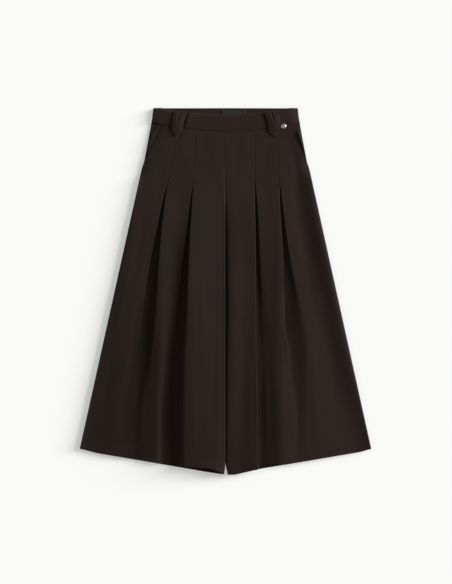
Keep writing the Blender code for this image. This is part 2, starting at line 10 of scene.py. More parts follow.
import bmesh
import bpy
import numpy as np
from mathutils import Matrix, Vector
from mathutils.bvhtree import BVHTree
from numpy.linalg import norm


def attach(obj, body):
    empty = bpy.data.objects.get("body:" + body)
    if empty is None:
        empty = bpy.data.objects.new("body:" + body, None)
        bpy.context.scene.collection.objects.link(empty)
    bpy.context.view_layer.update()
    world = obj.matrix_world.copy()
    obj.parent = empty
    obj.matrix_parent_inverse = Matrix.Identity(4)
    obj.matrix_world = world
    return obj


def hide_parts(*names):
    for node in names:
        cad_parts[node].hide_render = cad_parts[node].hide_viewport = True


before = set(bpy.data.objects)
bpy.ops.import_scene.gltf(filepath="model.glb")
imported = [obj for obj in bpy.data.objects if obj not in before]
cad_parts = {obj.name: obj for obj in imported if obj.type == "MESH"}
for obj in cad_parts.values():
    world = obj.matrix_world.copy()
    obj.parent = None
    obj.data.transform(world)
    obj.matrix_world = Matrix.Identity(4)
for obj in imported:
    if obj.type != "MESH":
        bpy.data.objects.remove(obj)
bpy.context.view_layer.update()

MM = 0.001
# The least length to divide by
TINY = 1e-9


def table(kind, rows):
    """A table's rows, with a name for each column."""
    return tuple(kind(*row) for row in rows)


# ---- the garment's sizes, mm
LENGTH = 943.4
CLOTH = 1.2
SHELL = 0.26
FACING_CLOTH = 1
BACK_CLOTH = 1.5
BAND_CLOTH = 2.4
LOOP_CLOTH = 1.6
SEAM_GAP = 0.3

BAND_DEPTH = 44
BACK_BAND_DEPTH = 43.7
FRONT_SEAM_DROP = 59.5
FRONT_SEAM_RISE = 23.5
FRONT_SEAM_POWER = 1.8
FRONT_SEAM_REACH = 190
FRONT_DIP = 15.8
FRONT_DIP_REACH = 165
BAND_HEIGHT = 7.2
BAND_SIDE_HEIGHT = 3.9
BAND_LEFT_HEIGHT = 6
BAND_CORNER = 3
BAND_CROWN = 0.3
BAND_TURN = 26
BAND_EDGE_TOP = 10
BAND_EDGE_FALL = 20

LAYER_STEP = 2.2
EDGE_ROUND = 0.2
# A pleat's edges meet closely down to where its stitching ends, and then part: how far each
# edge moves inward at these drops
CLOSE_DROPS = (150, 178, 190, 215, 260)
EDGE_CLOSE = (0.24, 0.1, -0.35, -0.35, 0)
NEAR_EDGE = 1.4
LIP_WIDTH = 1
LIP_SHELF = 3.2
LIP_FULL = 185
HEM_LIFT_POWER = 10
NOTCH_LENGTH = 27
NOTCH_REACH = 30
FLOOR_HEIGHT = BACK_CLOTH + SEAM_GAP + CLOTH / 2

SideRow = namedtuple("SideRow", "drop half_width")
SIDES = table(SideRow, (
    (0, 183.4), (3, 184), (139, 209.6), (154, 215.3), (874, 374.6),
))

HemRow = namedtuple("HemRow", "out drop")
LEFT_HEM = table(HemRow, (
    (4, 941.5), (9, 942.4), (54, 935.6), (332, 887.9), (374.6, 876.5),
))
RIGHT_HEM = table(HemRow, (
    (6, 943.4), (24, 943.2), (70, 932.2), (348, 885), (374.6, 876.5),
))

PocketRow = namedtuple("PocketRow", "drop mouth left_height right_height")
POCKET = table(PocketRow, (
    (40, 161, 7, 7.6), (68, 172.6, 7, 8.2), (113, 199, 7, 8), (132, 206.6, 6.6, 6.6),
    (147, 212.4, 5.6, 4.2), (165, 217.7, FLOOR_HEIGHT, FLOOR_HEIGHT),
))
POCKET_END = 147
FACING_END = 143
FACING_HEIGHT = 2.4
FACING_INSET = 0.1
FACING_TOP_OUT = 180
FACING_HIGH = 113
FACING_LOW = 135
FACING_SHUT = 50
FACING_OPEN = 70
FacingRoll = namedtuple("FacingRoll", "crest mouth full flat")
FacingPoint = namedtuple("FacingPoint", "width reach crest mouth")
FACING = table(FacingPoint, (
    (0, 18, 0, 0), (0, 9, 0, 0), (0, 2, 0, 0.7), (0.34, 0, 0, 1),
    (0.56, 0, 0.5, 0.5), (0.7, 0, 1, 0), (0.86, 0, 0.65, 0), (0.95, 0, 0.12, 0),
    (1, 0, 0, 0),
))

# Each fold line's distance out and height at these drops, as on the solids
STATIONS = (60, 147, 193, 245, 300, 400, 520, 650, 780, 900)
Fold = namedtuple("Fold", "out height hem_lift")
Pleat = namedtuple("Pleat", "outer floor inner outer_ease inner_ease")
# How far a pleat's cloth goes back under its edge, at the same drops
FOLD_UNDER = (14, 14, 14, 13.5, 12, 9, 6, 4, 3, 2)
# One side of a pleat that has opened: the part of its run and the part of its rise
SlopePoint = namedtuple("SlopePoint", "run rise")
SLOPE = table(SlopePoint, (
    (0, 1), (0.16, 0.88), (0.32, 0.7), (0.48, 0.5), (0.64, 0.3), (0.82, 0.12),
))

# Each leg's folds, from its side to the centre. Side: roll, valley and panel. Middle: ridge and
# slope. Inner: ridge, shallow, inner ridge, shoulder, crest, rise, lip and edge.
CENTRE_EDGE = Fold((0.25, 0.25, 0.3, 0.4, 0.6, 0.85, 0.85, 0.85, 0.85, 0.85),
                   (7, 7.3, 7.7, 9.6, 8, 3.4, 2.4, 2.4, 2.4, 2.4), 0.5)

LEFT_SIDE_FOLDS = table(Fold, (
    ((158, 199, 216, 230, 242, 265, 291, 320, 349, 368),
     (7, 6.6, 7, 8.2, 9.2, 9.4, 8.8, 8, 7.4, 7.2), 1.5),
    ((151, 186, 196, 208, 220, 240, 262, 282, 306, 322),
     (7, 7.4, 7.8, 8.8, 9.6, 10.2, 10.2, 9.6, 9, 8.6), 1.5),
    ((140, 162, 174, 186, 198, 218, 238, 256, 283, 292),
     (7, 7.6, 8.2, 9.4, 10.4, 11.2, 11, 10.2, 10, 9.8), 1.5),
))
LEFT_PLEAT_1 = Pleat(
    Fold((127.75, 138.75, 150.45, 163.5, 174.5, 195, 216, 238, 256, 262),
         (7, 7.6, 8.6, 10, 10.6, 10.2, 8.6, 7.8, 8.2, 8.6), 1.5),
    Fold((127.5, 138.5, 150, 160, 169, 184, 199, 213, 230, 236),
         (2.6, 2.6, 2.6, 2.6, 2.8, 3, 3.4, 5, 6.8, 7.2), 2),
    Fold((127, 138, 149.7, 157, 163.5, 172, 179, 190, 204, 206),
         (7, 7.6, 8.6, 11, 13.5, 16.3, 16.4, 13, 10.6, 10.6), 2.5),
    (0, 0, 0, 0, 0, 0.1, 0.5, 1, 1, 1),
    (0, 0, 0, 0, 0.05, 0.2, 0.45, 0.8, 1, 1),
)
LEFT_MIDDLE_FOLDS = table(Fold, (
    ((112, 121, 130, 137, 144, 155, 160, 164, 171, 172),
     (7, 7.6, 8.6, 11, 13.5, 16.5, 18, 17.2, 15, 14), 2.5),
    ((94, 100, 106, 112, 118, 129, 140, 153, 163, 165),
     (7, 7.6, 8.6, 10, 11, 11, 9.5, 7.5, 6.5, 6.5), 2),
))
LEFT_PLEAT_2 = Pleat(
    Fold((77.65, 80.95, 84.15, 91.6, 98, 110.5, 124, 143, 154, 157),
         (7, 7.6, 8.6, 10.6, 12, 11, 8, 5, 4.5, 4.5), 1.5),
    Fold((77.5, 80.8, 84, 89, 93.5, 103, 112, 122, 129, 131),
         (2.6, 2.6, 2.6, 2.6, 2.8, 3, 3, 3, 3, 3), 2.5),
    Fold((77, 80.3, 83.5, 87, 90, 95, 99, 106, 109, 109),
         (7, 7.6, 8.6, 12, 16, 22, 26.8, 27.6, 26.8, 23.2), 6),
    (0, 0, 0, 0, 0.05, 0.35, 0.8, 1, 1, 1),
    (0, 0, 0, 0, 0.1, 0.3, 0.6, 0.9, 1, 1),
)
LEFT_INNER_FOLDS = table(Fold, (
    ((62, 66, 68, 70, 72, 76, 78, 78, 78, 77),
     (7, 7.6, 8.6, 12, 16, 22, 27.5, 29.2, 28.6, 25), 9),
    ((44, 46, 47, 48, 48, 48.6, 48.6, 45, 39, 36),
     (7, 7.6, 8.6, 11.6, 15, 20.2, 25.6, 27.8, 28.2, 24.6), 13.5),
    ((22, 22, 22, 20, 18, 16, 14, 15, 18, 20),
     (7, 7.6, 8.6, 11.5, 14.8, 19.6, 24.8, 27.4, 28.8, 24), 9),
    ((12, 12, 10, 6, 4, 3, 2.8, 2.8, 2.8, 3.4),
     (7, 7.6, 8.6, 11.4, 14.6, 19.4, 24.4, 26.8, 27.4, 20.2), 1),
    ((8, 8, 5, 2.6, 1.6, 1.3, 1.3, 1.3, 1.3, 1.6),
     (7, 7.6, 8.6, 11.7, 15.2, 20.4, 25.8, 28.2, 28.8, 21), 1),
    ((3, 3, 3, 1.8, 1.2, 1.05, 1.05, 1.05, 1.05, 1.2),
     (7, 7.5, 8.1, 11, 13.8, 16, 19, 20, 20, 14), 0.5),
    ((1.6, 1.6, 1.6, 1.2, 1, 0.95, 0.95, 0.95, 0.95, 1),
     (7, 7.4, 7.9, 10.2, 9.6, 7, 8, 9, 9, 6), 0.5),
    CENTRE_EDGE,
))

RIGHT_SIDE_FOLDS = table(Fold, (
    ((158, 199, 210, 224, 237, 260, 286, 315, 345, 365),
     (7.6, 6.8, 10.6, 12.4, 13, 13, 13.2, 12.8, 10.8, 9), 1),
    ((151, 180, 184, 191, 201, 223, 250, 282, 314, 332),
     (7.2, 7.2, 5.4, 4.8, 4.9, 5, 5.6, 7, 7.6, 7.8), 1),
    ((140, 158, 164, 171, 179, 200, 222, 244, 254, 256),
     (7, 7.6, 7.8, 7.8, 8, 8.6, 9.2, 10, 10.8, 10.7), 1),
))
RIGHT_PLEAT_1 = Pleat(
    Fold((127.65, 134.65, 138.95, 145.2, 152.4, 167.5, 195, 212, 211, 208),
         (7, 7.6, 8.4, 8.7, 9, 9.8, 11, 12.2, 12, 11.6), 1),
    Fold((127.5, 134.5, 138.8, 142.6, 147.6, 157.5, 162, 170, 182, 186),
         (2.6, 2.6, 2.6, 2.6, 2.6, 2.6, 3.4, 6.6, 10, 11), 1),
    Fold((127, 134, 138.3, 140, 143, 148.6, 152, 157, 163, 166),
         (7, 7.6, 8.6, 10.3, 11.2, 10.6, 8.8, 8.6, 11, 11.6), 1),
    (0, 0, 0, 0, 0, 0.5, 1, 1, 1, 1),
    (0, 0, 0, 0, 0, 0, 0.2, 1, 1, 1),
)
RIGHT_MIDDLE_FOLDS = table(Fold, (
    ((113, 121, 127, 131, 135, 139, 141, 146, 146, 150),
     (7, 7.6, 8.6, 10.4, 11.6, 11.6, 10.4, 10.2, 12.2, 12.4), 1),
    ((94, 99, 104, 111, 116, 124, 128, 132, 134, 136),
     (7, 7.6, 8.6, 10, 10.8, 10.8, 10, 9.8, 11.4, 11.4), 6),
))
RIGHT_PLEAT_2 = Pleat(
    Fold((74.35, 75.65, 76.6, 80.6, 83.8, 89, 97, 108, 112, 114),
         (7, 7.6, 8.6, 10, 10.2, 9.2, 7, 6.2, 7, 7.2), 8),
    Fold((74.2, 75.5, 76.2, 78.2, 80, 82.6, 84, 86, 89, 91),
         (2.6, 2.6, 2.6, 2.6, 2.8, 3.2, 3.4, 3, 3, 3.2), 11),
    Fold((73.7, 75, 75.8, 75.6, 76.4, 77.6, 78.5, 79, 81.6, 83.4),
         (7, 7.6, 8.6, 12, 15.8, 19.4, 21.2, 21.7, 21.7, 20.2), 1),
    (0, 0, 0, 0.1, 0.3, 0.7, 1, 1, 1, 1),
    (0, 0, 0, 0, 0, 0, 0, 0, 0, 0),
)
RIGHT_INNER_FOLDS = table(Fold, (
    ((60, 62, 63, 64, 66, 68, 69, 69, 70, 71),
     (7, 7.6, 8.6, 12, 15.8, 19.2, 21, 21.5, 21.5, 20), 1),
    ((44, 46, 48, 49, 50, 52, 52, 48, 42, 40),
     (7, 7.6, 8.6, 11.6, 14.9, 18.1, 19.8, 19.4, 18.2, 16.4), 1),
    ((22, 22, 22, 22, 24, 26, 26, 26, 24, 22),
     (7, 7.6, 8.6, 11.6, 14.9, 19, 21.6, 21.4, 19.6, 17.4), 1),
    ((12, 12, 12, 11, 10.5, 10, 10, 10, 10, 10),
     (7, 7.6, 8.5, 11.4, 14.4, 18.4, 21, 21, 19.6, 17), 1),
    ((7, 7, 7, 6, 5.4, 4.8, 4.6, 4.2, 3.4, 3.4),
     (7, 7.6, 8.4, 11.2, 13.6, 16.8, 19.2, 20.2, 19, 16.6), 1),
    ((3, 3, 3, 2.7, 2.5, 2.3, 2.1, 1.8, 1.5, 1.5),
     (7, 7.5, 8.1, 10.7, 12.2, 13.4, 15.6, 17.8, 17.8, 15.6), 0.5),
    ((1.6, 1.6, 1.6, 1.4, 1.5, 1.8, 1.6, 1.4, 1.1, 1.1),
     (7, 7.4, 7.9, 10.2, 10.4, 9.2, 10, 13, 13.4, 11), 0.5),
    CENTRE_EDGE,
))

LoopRow = namedtuple("LoopRow", "drop medial lateral height bow")
LOOP = table(LoopRow, (
    (9, 98.5, 136, 9.8, 0.5), (14, 100, 137, 9.9, 1), (20, 102, 138, 10.2, 1.4),
    (31, 106, 140, 10.4, 1.6), (42, 108.5, 142, 10.2, 1.5), (49, 109.5, 142.5, 9.9, 1.2),
    (55, 110.5, 142, 9.6, 0.9), (62, 112.5, 140, 9.1, 0.6), (68, 119, 134.5, 9, 0.3),
    (74, 125.5, 128.5, 8.9, 0.1),
))
# The crease down the upper part of each loop
LOOP_CREASE = 0.5
LOOP_CREASE_WIDTH = 0.05
LOOP_CREASE_DEPTH = 1.3
LOOP_CREASE_END = 46
LOOP_CREASE_FADE = 20
LOOP_CREASE_LEAN = 0.001
LOOP_CREASE_TURN = 20
# The band's top edge rolls down, and the band sinks beside a loop's inner edge.
BAND_ROLL = 1.5
BAND_ROLL_REACH = 2.6
BAND_WAVE = 0.12
# The bands' thickness at their edges, as a part of the whole, and how far that reaches
FRONT_EDGE = (0.55, 4)
BACK_EDGE = (0.6, 3)
LOOP_DENT = 2.6
LOOP_DENT_REACH = 3.4
LOOP_DENT_END = 62
LOOP_DENT_FADE = 8
# The left loop's outer edge is pressed down on the band and thinner, from this part of its width.
LOOP_PRESS = 0.85
LOOP_THIN = 0.62
LOOP_PRESS_FROM = 0.84
# The front is pressed down and thinner along a pocket's mouth.
MOUTH_PRESS = {"left": 1, "right": 0.4}
MOUTH_REACH = 7
MOUTH_FADE = 24
MOUTH_THIN = 0.5

# Stud and label
STUD_OUT = 150
STUD_DROP = 46.5
STUD_BASE = 8.9
STUD_SIDES = 72
StudRing = namedtuple("StudRing", "radius height")
STUD_RINGS = table(StudRing, (
    (6.1, 0), (6.5, 0.25), (6.5, 0.8), (6.25, 1.15), (5.8, 1.3), (5.35, 1.15), (5.1, 0.85),
    (4.8, 0.85), (4.5, 1.2), (3.9, 1.75), (2.9, 2.15), (1.5, 2.36), (0.4, 2.4),
))
LABEL_LEFT = -10
LABEL_RIGHT = 52
LABEL_TOP = 5
LABEL_BOTTOM = 29
LABEL_CLOTH = 0.7
LABEL_HEIGHT = 3.15
LABEL_WAVE = 0.12

# Stitches, mm
THREAD = 0.22
STITCH_LENGTH = 2.6
STITCH_GAP = 0.7
STITCH_INSET = 1.8
BAR_STEP = 0.75
BAR_LEAN = 0.35
STITCH_LIFT = 0.9
STITCH_SINK = 0.45
STITCH_ENDS = 0.7
LOOP_STITCH_TOP = 1
LOOP_STITCH_POINT = 3.2
MOUTH_STITCH_INSET = 3.2
MOUTH_STITCH_TOP = 6
LABEL_STITCH_INSET = 1.2
RAY_START = 100
Bar = namedtuple("Bar", "out drop length width upright")
LOOP_BARS = {"left": Bar(127.4, 63.5, 9, 2, False), "right": Bar(125, 56.5, 12, 2, False)}
POCKET_BAR = Bar(165.2, 55, 11, 2, True)

# ---- finer form than the solids have
SPAN_SAMPLES = 4
TOP_ROWS = (0, 0.8, 1.8, 3.2, 5, 7.5, 11, 15)
HEM_ROWS = (42, 38, 35.5, 34, 32.5, 30, 26, 20, 14, 9, 5.5, 3, 1.4, 0.5, 0)
BODY_ROW_STEP = 6
FRONT_LENGTH = 880

SEAM_TUCK = 0.9
SEAM_TUCK_REACH = 3
PUCKER = 0.22
PUCKER_REACH = 16
PUCKER_WAVES = ((0.42, 1.3), (0.17, 0.4))
HEM_FOLD = 0.7
HEM_DEPTH = 34
HEM_STITCH_DIP = 0.22
HEM_STITCH_REACH = 2.2
HEM_FOLD_EDGE = 3
HEM_ROOM = 0.4
HEM_ROLL = 0.8
HEM_ROLL_REACH = 2.5
# Creases come in over this height above the floor, and over one part in 3.5 of their own length.
FREE_HEIGHT = 5
CREASE_FADE = 3.5
# How far a rounded edge stands out, as a part of the cloth's thickness
RIM_BULGE = 0.32
SHARP_ANGLE = math.radians(42)

# Soft creases pressed into a front: where each starts and ends, its half width, and how far it
# rises, or sinks if less than 0.
Crease = namedtuple("Crease", "out drop end_out end_drop width rise")
LEFT_CREASES = table(Crease, (
    (118, 70, 96, 150, 7, 0.35), (60, 64, 50, 130, 9, -0.3), (30, 66, 27, 170, 8, 0.25),
    (172, 120, 168, 260, 8, -0.5), (205, 250, 238, 470, 9, -0.6), (240, 360, 300, 690, 8, 0.7),
    (270, 520, 320, 800, 9, -0.8), (120, 330, 128, 560, 6, -0.6), (150, 640, 158, 860, 6, 0.7),
    (60, 420, 56, 700, 7, 0.5), (30, 540, 28, 860, 6, -0.5), (205, 640, 222, 880, 6, 0.6),
    (64, 700, 66, 900, 6, -0.4), (106, 55, 127, 78, 1.8, -2.2),
))
RIGHT_CREASES = table(Crease, (
    (112, 74, 100, 160, 8, -0.3), (52, 66, 58, 150, 9, 0.25), (26, 70, 30, 190, 8, -0.25),
    (168, 150, 178, 280, 7, 0.45), (214, 380, 250, 560, 8, 0.7), (262, 560, 290, 780, 8, -0.7),
    (225, 620, 236, 860, 9, 0.6), (148, 420, 158, 600, 6, -0.4), (104, 430, 112, 600, 6, 0.5),
    (100, 650, 108, 880, 6, 0.6), (38, 430, 40, 640, 7, -0.45), (60, 600, 62, 860, 6, 0.4),
    (185, 700, 188, 880, 7, -0.5), (172, 100, 190, 200, 8, -0.9),
))
# The back's creases stand up from the surface that it lies on.
BACK_CREASES = table(Crease, (
    (60, 60, 64, 210, 5, 0.5), (118, 58, 126, 190, 5, 0.45), (96, 200, 120, 520, 9, 0.5),
    (40, 230, 52, 620, 8, 0.4), (160, 180, 205, 520, 9, 0.55), (205, 330, 272, 760, 10, 0.45),
    (130, 480, 150, 900, 9, 0.5), (78, 560, 88, 910, 8, 0.4), (222, 560, 252, 890, 8, 0.5),
    (290, 600, 322, 860, 9, 0.45), (28, 640, 26, 900, 7, 0.35),
))
# Painted shade: places where the cloth's colour is darkened to stand in for shade, towards the
# lower left and along some fold edges and valleys
Nap = namedtuple("Nap", "out drop reach_out reach_drop shade")
LEFT_PAINTED_SHADE = table(Nap, (
    (300, 850, 110, 330, 0.22), (40, 900, 60, 130, 0.12), (190, 740, 400, 330, 0.07),
    (255, 830, 45, 200, 0.13), (232, 720, 20, 80, 0.16), (218, 650, 18, 60, 0.2),
    (216, 560, 22, 70, 0.28), (165, 860, 22, 190, 0.17), (155, 540, 14, 150, 0.15),
    (140, 420, 26, 80, 0.09), (3, 400, 6, 330, 0.13), (129, 345, 17, 75, 0.27),
    (226, 640, 22, 75, 0.17), (214, 515, 8, 36, 0.2), (163, 620, 10, 100, 0.11),
    (68, 380, 24, 70, 0.05), (44, 590, 16, 150, 0.06), (241, 830, 17, 80, 0.15),
    (160, 850, 12, 110, 0.15), (13, 892, 16, 42, 0.18),
))
RIGHT_PAINTED_SHADE = table(Nap, (
    (36, 800, 44, 240, 0.07), (190, 740, 400, 330, 0.07), (262, 560, 44, 260, 0.05),
    (225, 395, 17, 105, 0.19), (185, 150, 12, 45, 0.1), (152, 520, 10, 120, 0.15),
    (131, 440, 17, 150, 0.17), (113, 700, 13, 160, 0.13), (77, 600, 6, 300, 0.17),
    (156, 575, 7, 70, 0.38), (147, 430, 6, 70, 0.16), (158, 605, 6, 34, 0.2),
    (80, 830, 5, 120, 0.2), (24, 892, 22, 45, 0.17),
))

# A leg's last table is the shade painted into its front's colour.
Leg = namedtuple("Leg", "name sign hem notch lip roll side_folds pleat_1 middle_folds pleat_2 "
                 "inner_folds creases nap")
LEGS = (
    Leg("left", -1, LEFT_HEM, 3.6, 6, FacingRoll(2.4, 2, 112, 142), LEFT_SIDE_FOLDS, LEFT_PLEAT_1,
        LEFT_MIDDLE_FOLDS, LEFT_PLEAT_2, LEFT_INNER_FOLDS, LEFT_CREASES, LEFT_PAINTED_SHADE),
    Leg("right", 1, RIGHT_HEM, 6, 8.5, FacingRoll(4.3, 0.1, 92, 126), RIGHT_SIDE_FOLDS,
        RIGHT_PLEAT_1, RIGHT_MIDDLE_FOLDS, RIGHT_PLEAT_2, RIGHT_INNER_FOLDS, RIGHT_CREASES,
        RIGHT_PAINTED_SHADE),
)

# The bands' and the backs' rows and columns, and the backs' thickness
BAND_ROWS = (0, 0.012, 0.03, 0.055, 0.085, 0.13, 0.2, 0.3, 0.4, 0.5, 0.6, 0.7, 0.8, 0.88, 0.94,
             0.975, 1)
BACK_THIN = 0.9
BACK_STEP = 8
BACK_COLUMNS = 60
BACK_RISE_MOST = 0.65
BACK_BAND_TOP = (0, 0.4, 1.2, 2.2, 3)
BACK_BAND_BODY = 6
BACK_BAND_COLUMNS = 90

RIPPLES = ((0.031, 0.012, 0.4), (-0.019, 0.027, 2.1), (0.055, -0.021, 4), (0.012, 0.006, 1.2))
RIPPLE_RISE = 0.12


def smooth_curve(xs, ys, x):
    """A smooth curve through a table's points that never swings past them."""
    xs = np.asarray(xs, float)
    ys = np.asarray(ys, float)
    x = np.clip(x, xs[0], xs[-1])
    step = np.diff(xs)
    slope = np.diff(ys) / step
    tangent = np.zeros(len(xs))
    for i in range(1, len(xs) - 1):
        if slope[i - 1] * slope[i] > 0:
            tangent[i] = 2 * slope[i - 1] * slope[i] / (slope[i - 1] + slope[i])
    tangent[0] = slope[0]
    tangent[-1] = slope[-1]
    i = np.clip(np.searchsorted(xs, x, side="right") - 1, 0, len(step) - 1)
    t = (x - xs[i]) / step[i]
    return (
        ys[i] * (1 + 2 * t) * (1 - t) ** 2
        + step[i] * tangent[i] * t * (1 - t) ** 2
        + ys[i + 1] * t**2 * (3 - 2 * t)
        - step[i] * tangent[i + 1] * t**2 * (1 - t)
    )


def column(rows, field):
    """One column of a table."""
    return [getattr(row, field) for row in rows]


def measure(rows, field, drop):
    """A column of a table at a drop, as a smooth curve."""
    return smooth_curve(column(rows, "drop"), column(rows, field), drop)


def ease(t):
    """0 below 0, 1 above 1, and smooth between."""
    t = np.clip(t, 0.0, 1.0)
    return t * t * (3 - 2 * t)


def side_out(drop):
    """The side edge's distance out."""
    return np.interp(drop, column(SIDES, "drop"), column(SIDES, "half_width"))


def hem_drop(leg, out):
    """The hem's drop."""
    return np.interp(out, column(leg.hem, "out"), column(leg.hem, "drop"))


def seam_drop(out):
    """The drop of the seam below the band."""
    across = np.minimum(1.0, out / FRONT_SEAM_REACH)
    return FRONT_SEAM_DROP - FRONT_SEAM_RISE * across**FRONT_SEAM_POWER


def band_top_drop(out):
    """The drop of the front band's sagging top edge."""
    return FRONT_DIP * np.maximum(0.0, 1 - (out / FRONT_DIP_REACH) ** 2)


def pocket_out(drop):
    """The distance out of a pocket's mouth."""
    return np.interp(drop, column(POCKET, "drop"), column(POCKET, "mouth"))


def notch_out(leg, drop):
    """How far the inner edge moves out, close to the hem."""
    low = hem_drop(leg, leg.hem[0].out)
    return leg.notch * max(0.0, (drop - low + NOTCH_LENGTH) / NOTCH_LENGTH)


def laid(x, drop, height):
    """Points in millimetres in the row's frame."""
    x, drop, height = np.broadcast_arrays(x, drop, height)
    return np.stack((x, LENGTH / 2 - drop, height), axis=-1)


def drop_at(leg, out, v, hem_lift):
    """The drop at a fraction of the way down the front, from the seam to the hem."""
    top = seam_drop(out) + SEAM_GAP
    return top + v * (hem_drop(leg, out) - top) - hem_lift * v**HEM_LIFT_POWER


def fold_point(leg, fold, v):
    """(out, hem lift, height) of a fold line at a fraction of the way down."""
    out = fold.out[len(STATIONS) // 2]
    for _ in range(3):
        drop = drop_at(leg, out, v, fold.hem_lift)
        out = float(smooth_curve(STATIONS, fold.out, drop))
    out += notch_out(leg, drop) * max(0.0, 1 - out / NOTCH_REACH)
    return np.array((out, fold.hem_lift, float(smooth_curve(STATIONS, fold.height, drop))))


def side_points(leg, v):
    """The front's outer edge: the pocket's mouth at the top and the side seam below it."""
    out = side_out(STATIONS[len(STATIONS) // 2])
    for _ in range(4):
        drop = drop_at(leg, out, v, 0.0)
        out = min(pocket_out(drop), side_out(drop)) if drop < POCKET[-1].drop else side_out(drop)
    height = float(measure(POCKET, leg.name + "_height", drop))
    rise = leg.lip * min(1.0, max(0.0, (drop - POCKET_END) / (LIP_FULL - POCKET_END)))
    return [(out, 0, height), (out - LIP_WIDTH / 2, 0, height + rise / 4),
            (out - LIP_WIDTH, 0, height + rise), (out - LIP_SHELF, 0, height + rise)]


def pleat_side(fold, floor, turn, under, ease_off):
    """One side of a pleat: over its edge, back under the panel, and out along the underlay.

    turn is +1 on the outer side and -1 on the inner. ease_off goes from 0, folded, to 1, a slope.
    """
    out, lift, high = fold
    low = floor[2]
    edge = out + turn * SHELL
    back = out + turn * under
    bend = turn * EDGE_ROUND
    folded = (
        (edge + bend, high),
        (edge - bend, high - LAYER_STEP / 2),
        (edge + bend, high - LAYER_STEP),
        (back - bend, low + LAYER_STEP),
        (back + bend, low + LAYER_STEP / 2),
        (back - bend, low),
    )
    points = []
    for (a, p), point in zip(folded, SLOPE):
        b, q = out + point.run * (floor[0] - out), low + point.rise * (high - low)
        points.append((a + ease_off * (b - a), lift, p + ease_off * (q - p)))
    return points


def pleat_points(leg, outside, pleat, inside, v):
    """Control points across a pleat, from its outer edge to its inner one.

    outside and inside are the folds next to it. An open side runs on smoothly to them.
    """
    outer, floor, inner = (fold_point(leg, fold, v) for fold in pleat[:3])
    drop = drop_at(leg, floor[0], v, 0)
    close = float(np.interp(drop, CLOSE_DROPS, EDGE_CLOSE))
    outer -= (close, 0, 0)
    inner += (close, 0, 0)
    under, ease_out, ease_in = (float(smooth_curve(STATIONS, row, drop))
                                for row in (FOLD_UNDER, pleat.outer_ease, pleat.inner_ease))
    before = outer + (NEAR_EDGE, 0, 0)
    before += ease_out * ((outer + fold_point(leg, outside, v)) / 2 - before)
    after = inner - (NEAR_EDGE, 0, 0)
    after += ease_in * ((inner + fold_point(leg, inside, v)) / 2 - after)
    down = pleat_side(outer, floor, 1, under, ease_out)
    up = pleat_side(inner, floor, -1, under, ease_in)
    return [before, *down, floor, *reversed(up), after]


def front_section(leg, v):
    """Control points across a leg's front, from the side to the centre."""
    side, middle, inner = leg.side_folds, leg.middle_folds, leg.inner_folds
    return np.array([
        *side_points(leg, v),
        *(fold_point(leg, fold, v) for fold in side),
        *pleat_points(leg, side[-1], leg.pleat_1, middle[0], v),
        *(fold_point(leg, fold, v) for fold in middle),
        *pleat_points(leg, middle[-1], leg.pleat_2, inner[0], v),
        *(fold_point(leg, fold, v) for fold in inner),
    ])


def spline(points, samples):
    """A uniform cubic B-spline from the first control point to the last."""
    points = np.asarray(points, float)
    ends = np.vstack((2 * points[0] - points[1], points, 2 * points[-1] - points[-2]))
    curve = []
    for k in range(samples):
        t = k / samples
        weights = ((1 - t) ** 3, 3 * t**3 - 6 * t**2 + 4, -3 * t**3 + 3 * t**2 + 3 * t + 1, t**3)
        curve.append(sum(w / 6 * ends[i:len(ends) - 3 + i] for i, w in enumerate(weights)))
    curve = np.stack(curve, axis=1).reshape(-1, points.shape[1])
    return np.vstack((curve, points[-1:]))


def unit(vectors):
    """The vectors' directions."""
    return vectors / np.maximum(norm(vectors, axis=-1, keepdims=True), TINY)


def tangents(grid, axis):
    """The directions of the grid's lines, halfway between those of the steps on both sides."""
    step = unit(np.diff(grid, axis=axis))
    first, last = np.take(step, [0], axis=axis), np.take(step, [-1], axis=axis)
    return np.concatenate((first, step), axis=axis) + np.concatenate((step, last), axis=axis)


def normals(grid):
    """The unit normals of a grid's surface."""
    return unit(np.cross(tangents(grid, 1), tangents(grid, 0)))


def crease_rise(creases, out, drop):
    """How far the creases raise the cloth at these places."""
    rise = np.zeros_like(out)
    for crease in creases:
        start = np.array((crease.out, crease.drop), float)
        run = np.array((crease.end_out, crease.end_drop), float) - start
        length = norm(run)
        along = ((out - start[0]) * run[0] + (drop - start[1]) * run[1]) / length**2
        off = ((out - start[0]) * run[1] - (drop - start[1]) * run[0]) / length
        fade = ease(along * CREASE_FADE) * ease((1 - along) * CREASE_FADE)
        rise += crease.rise * fade * np.exp(-((off / crease.width) ** 2))
    return rise


def painted_shade_at(patches, out, drop):
    """How much painted shade darkens the cloth at these places."""
    shade = np.zeros_like(out)
    for patch in patches:
        across = (out - patch.out) / patch.reach_out
        down = (drop - patch.drop) / patch.reach_drop
        shade += patch.shade * np.exp(-(across**2 + down**2))
    return shade


def ripple_rise(x, y):
    """The slight unevenness of cloth that has been handled."""
    return RIPPLE_RISE * sum(np.sin(a * x + b * y + c) for a, b, c in RIPPLES)


# ---- making the meshes


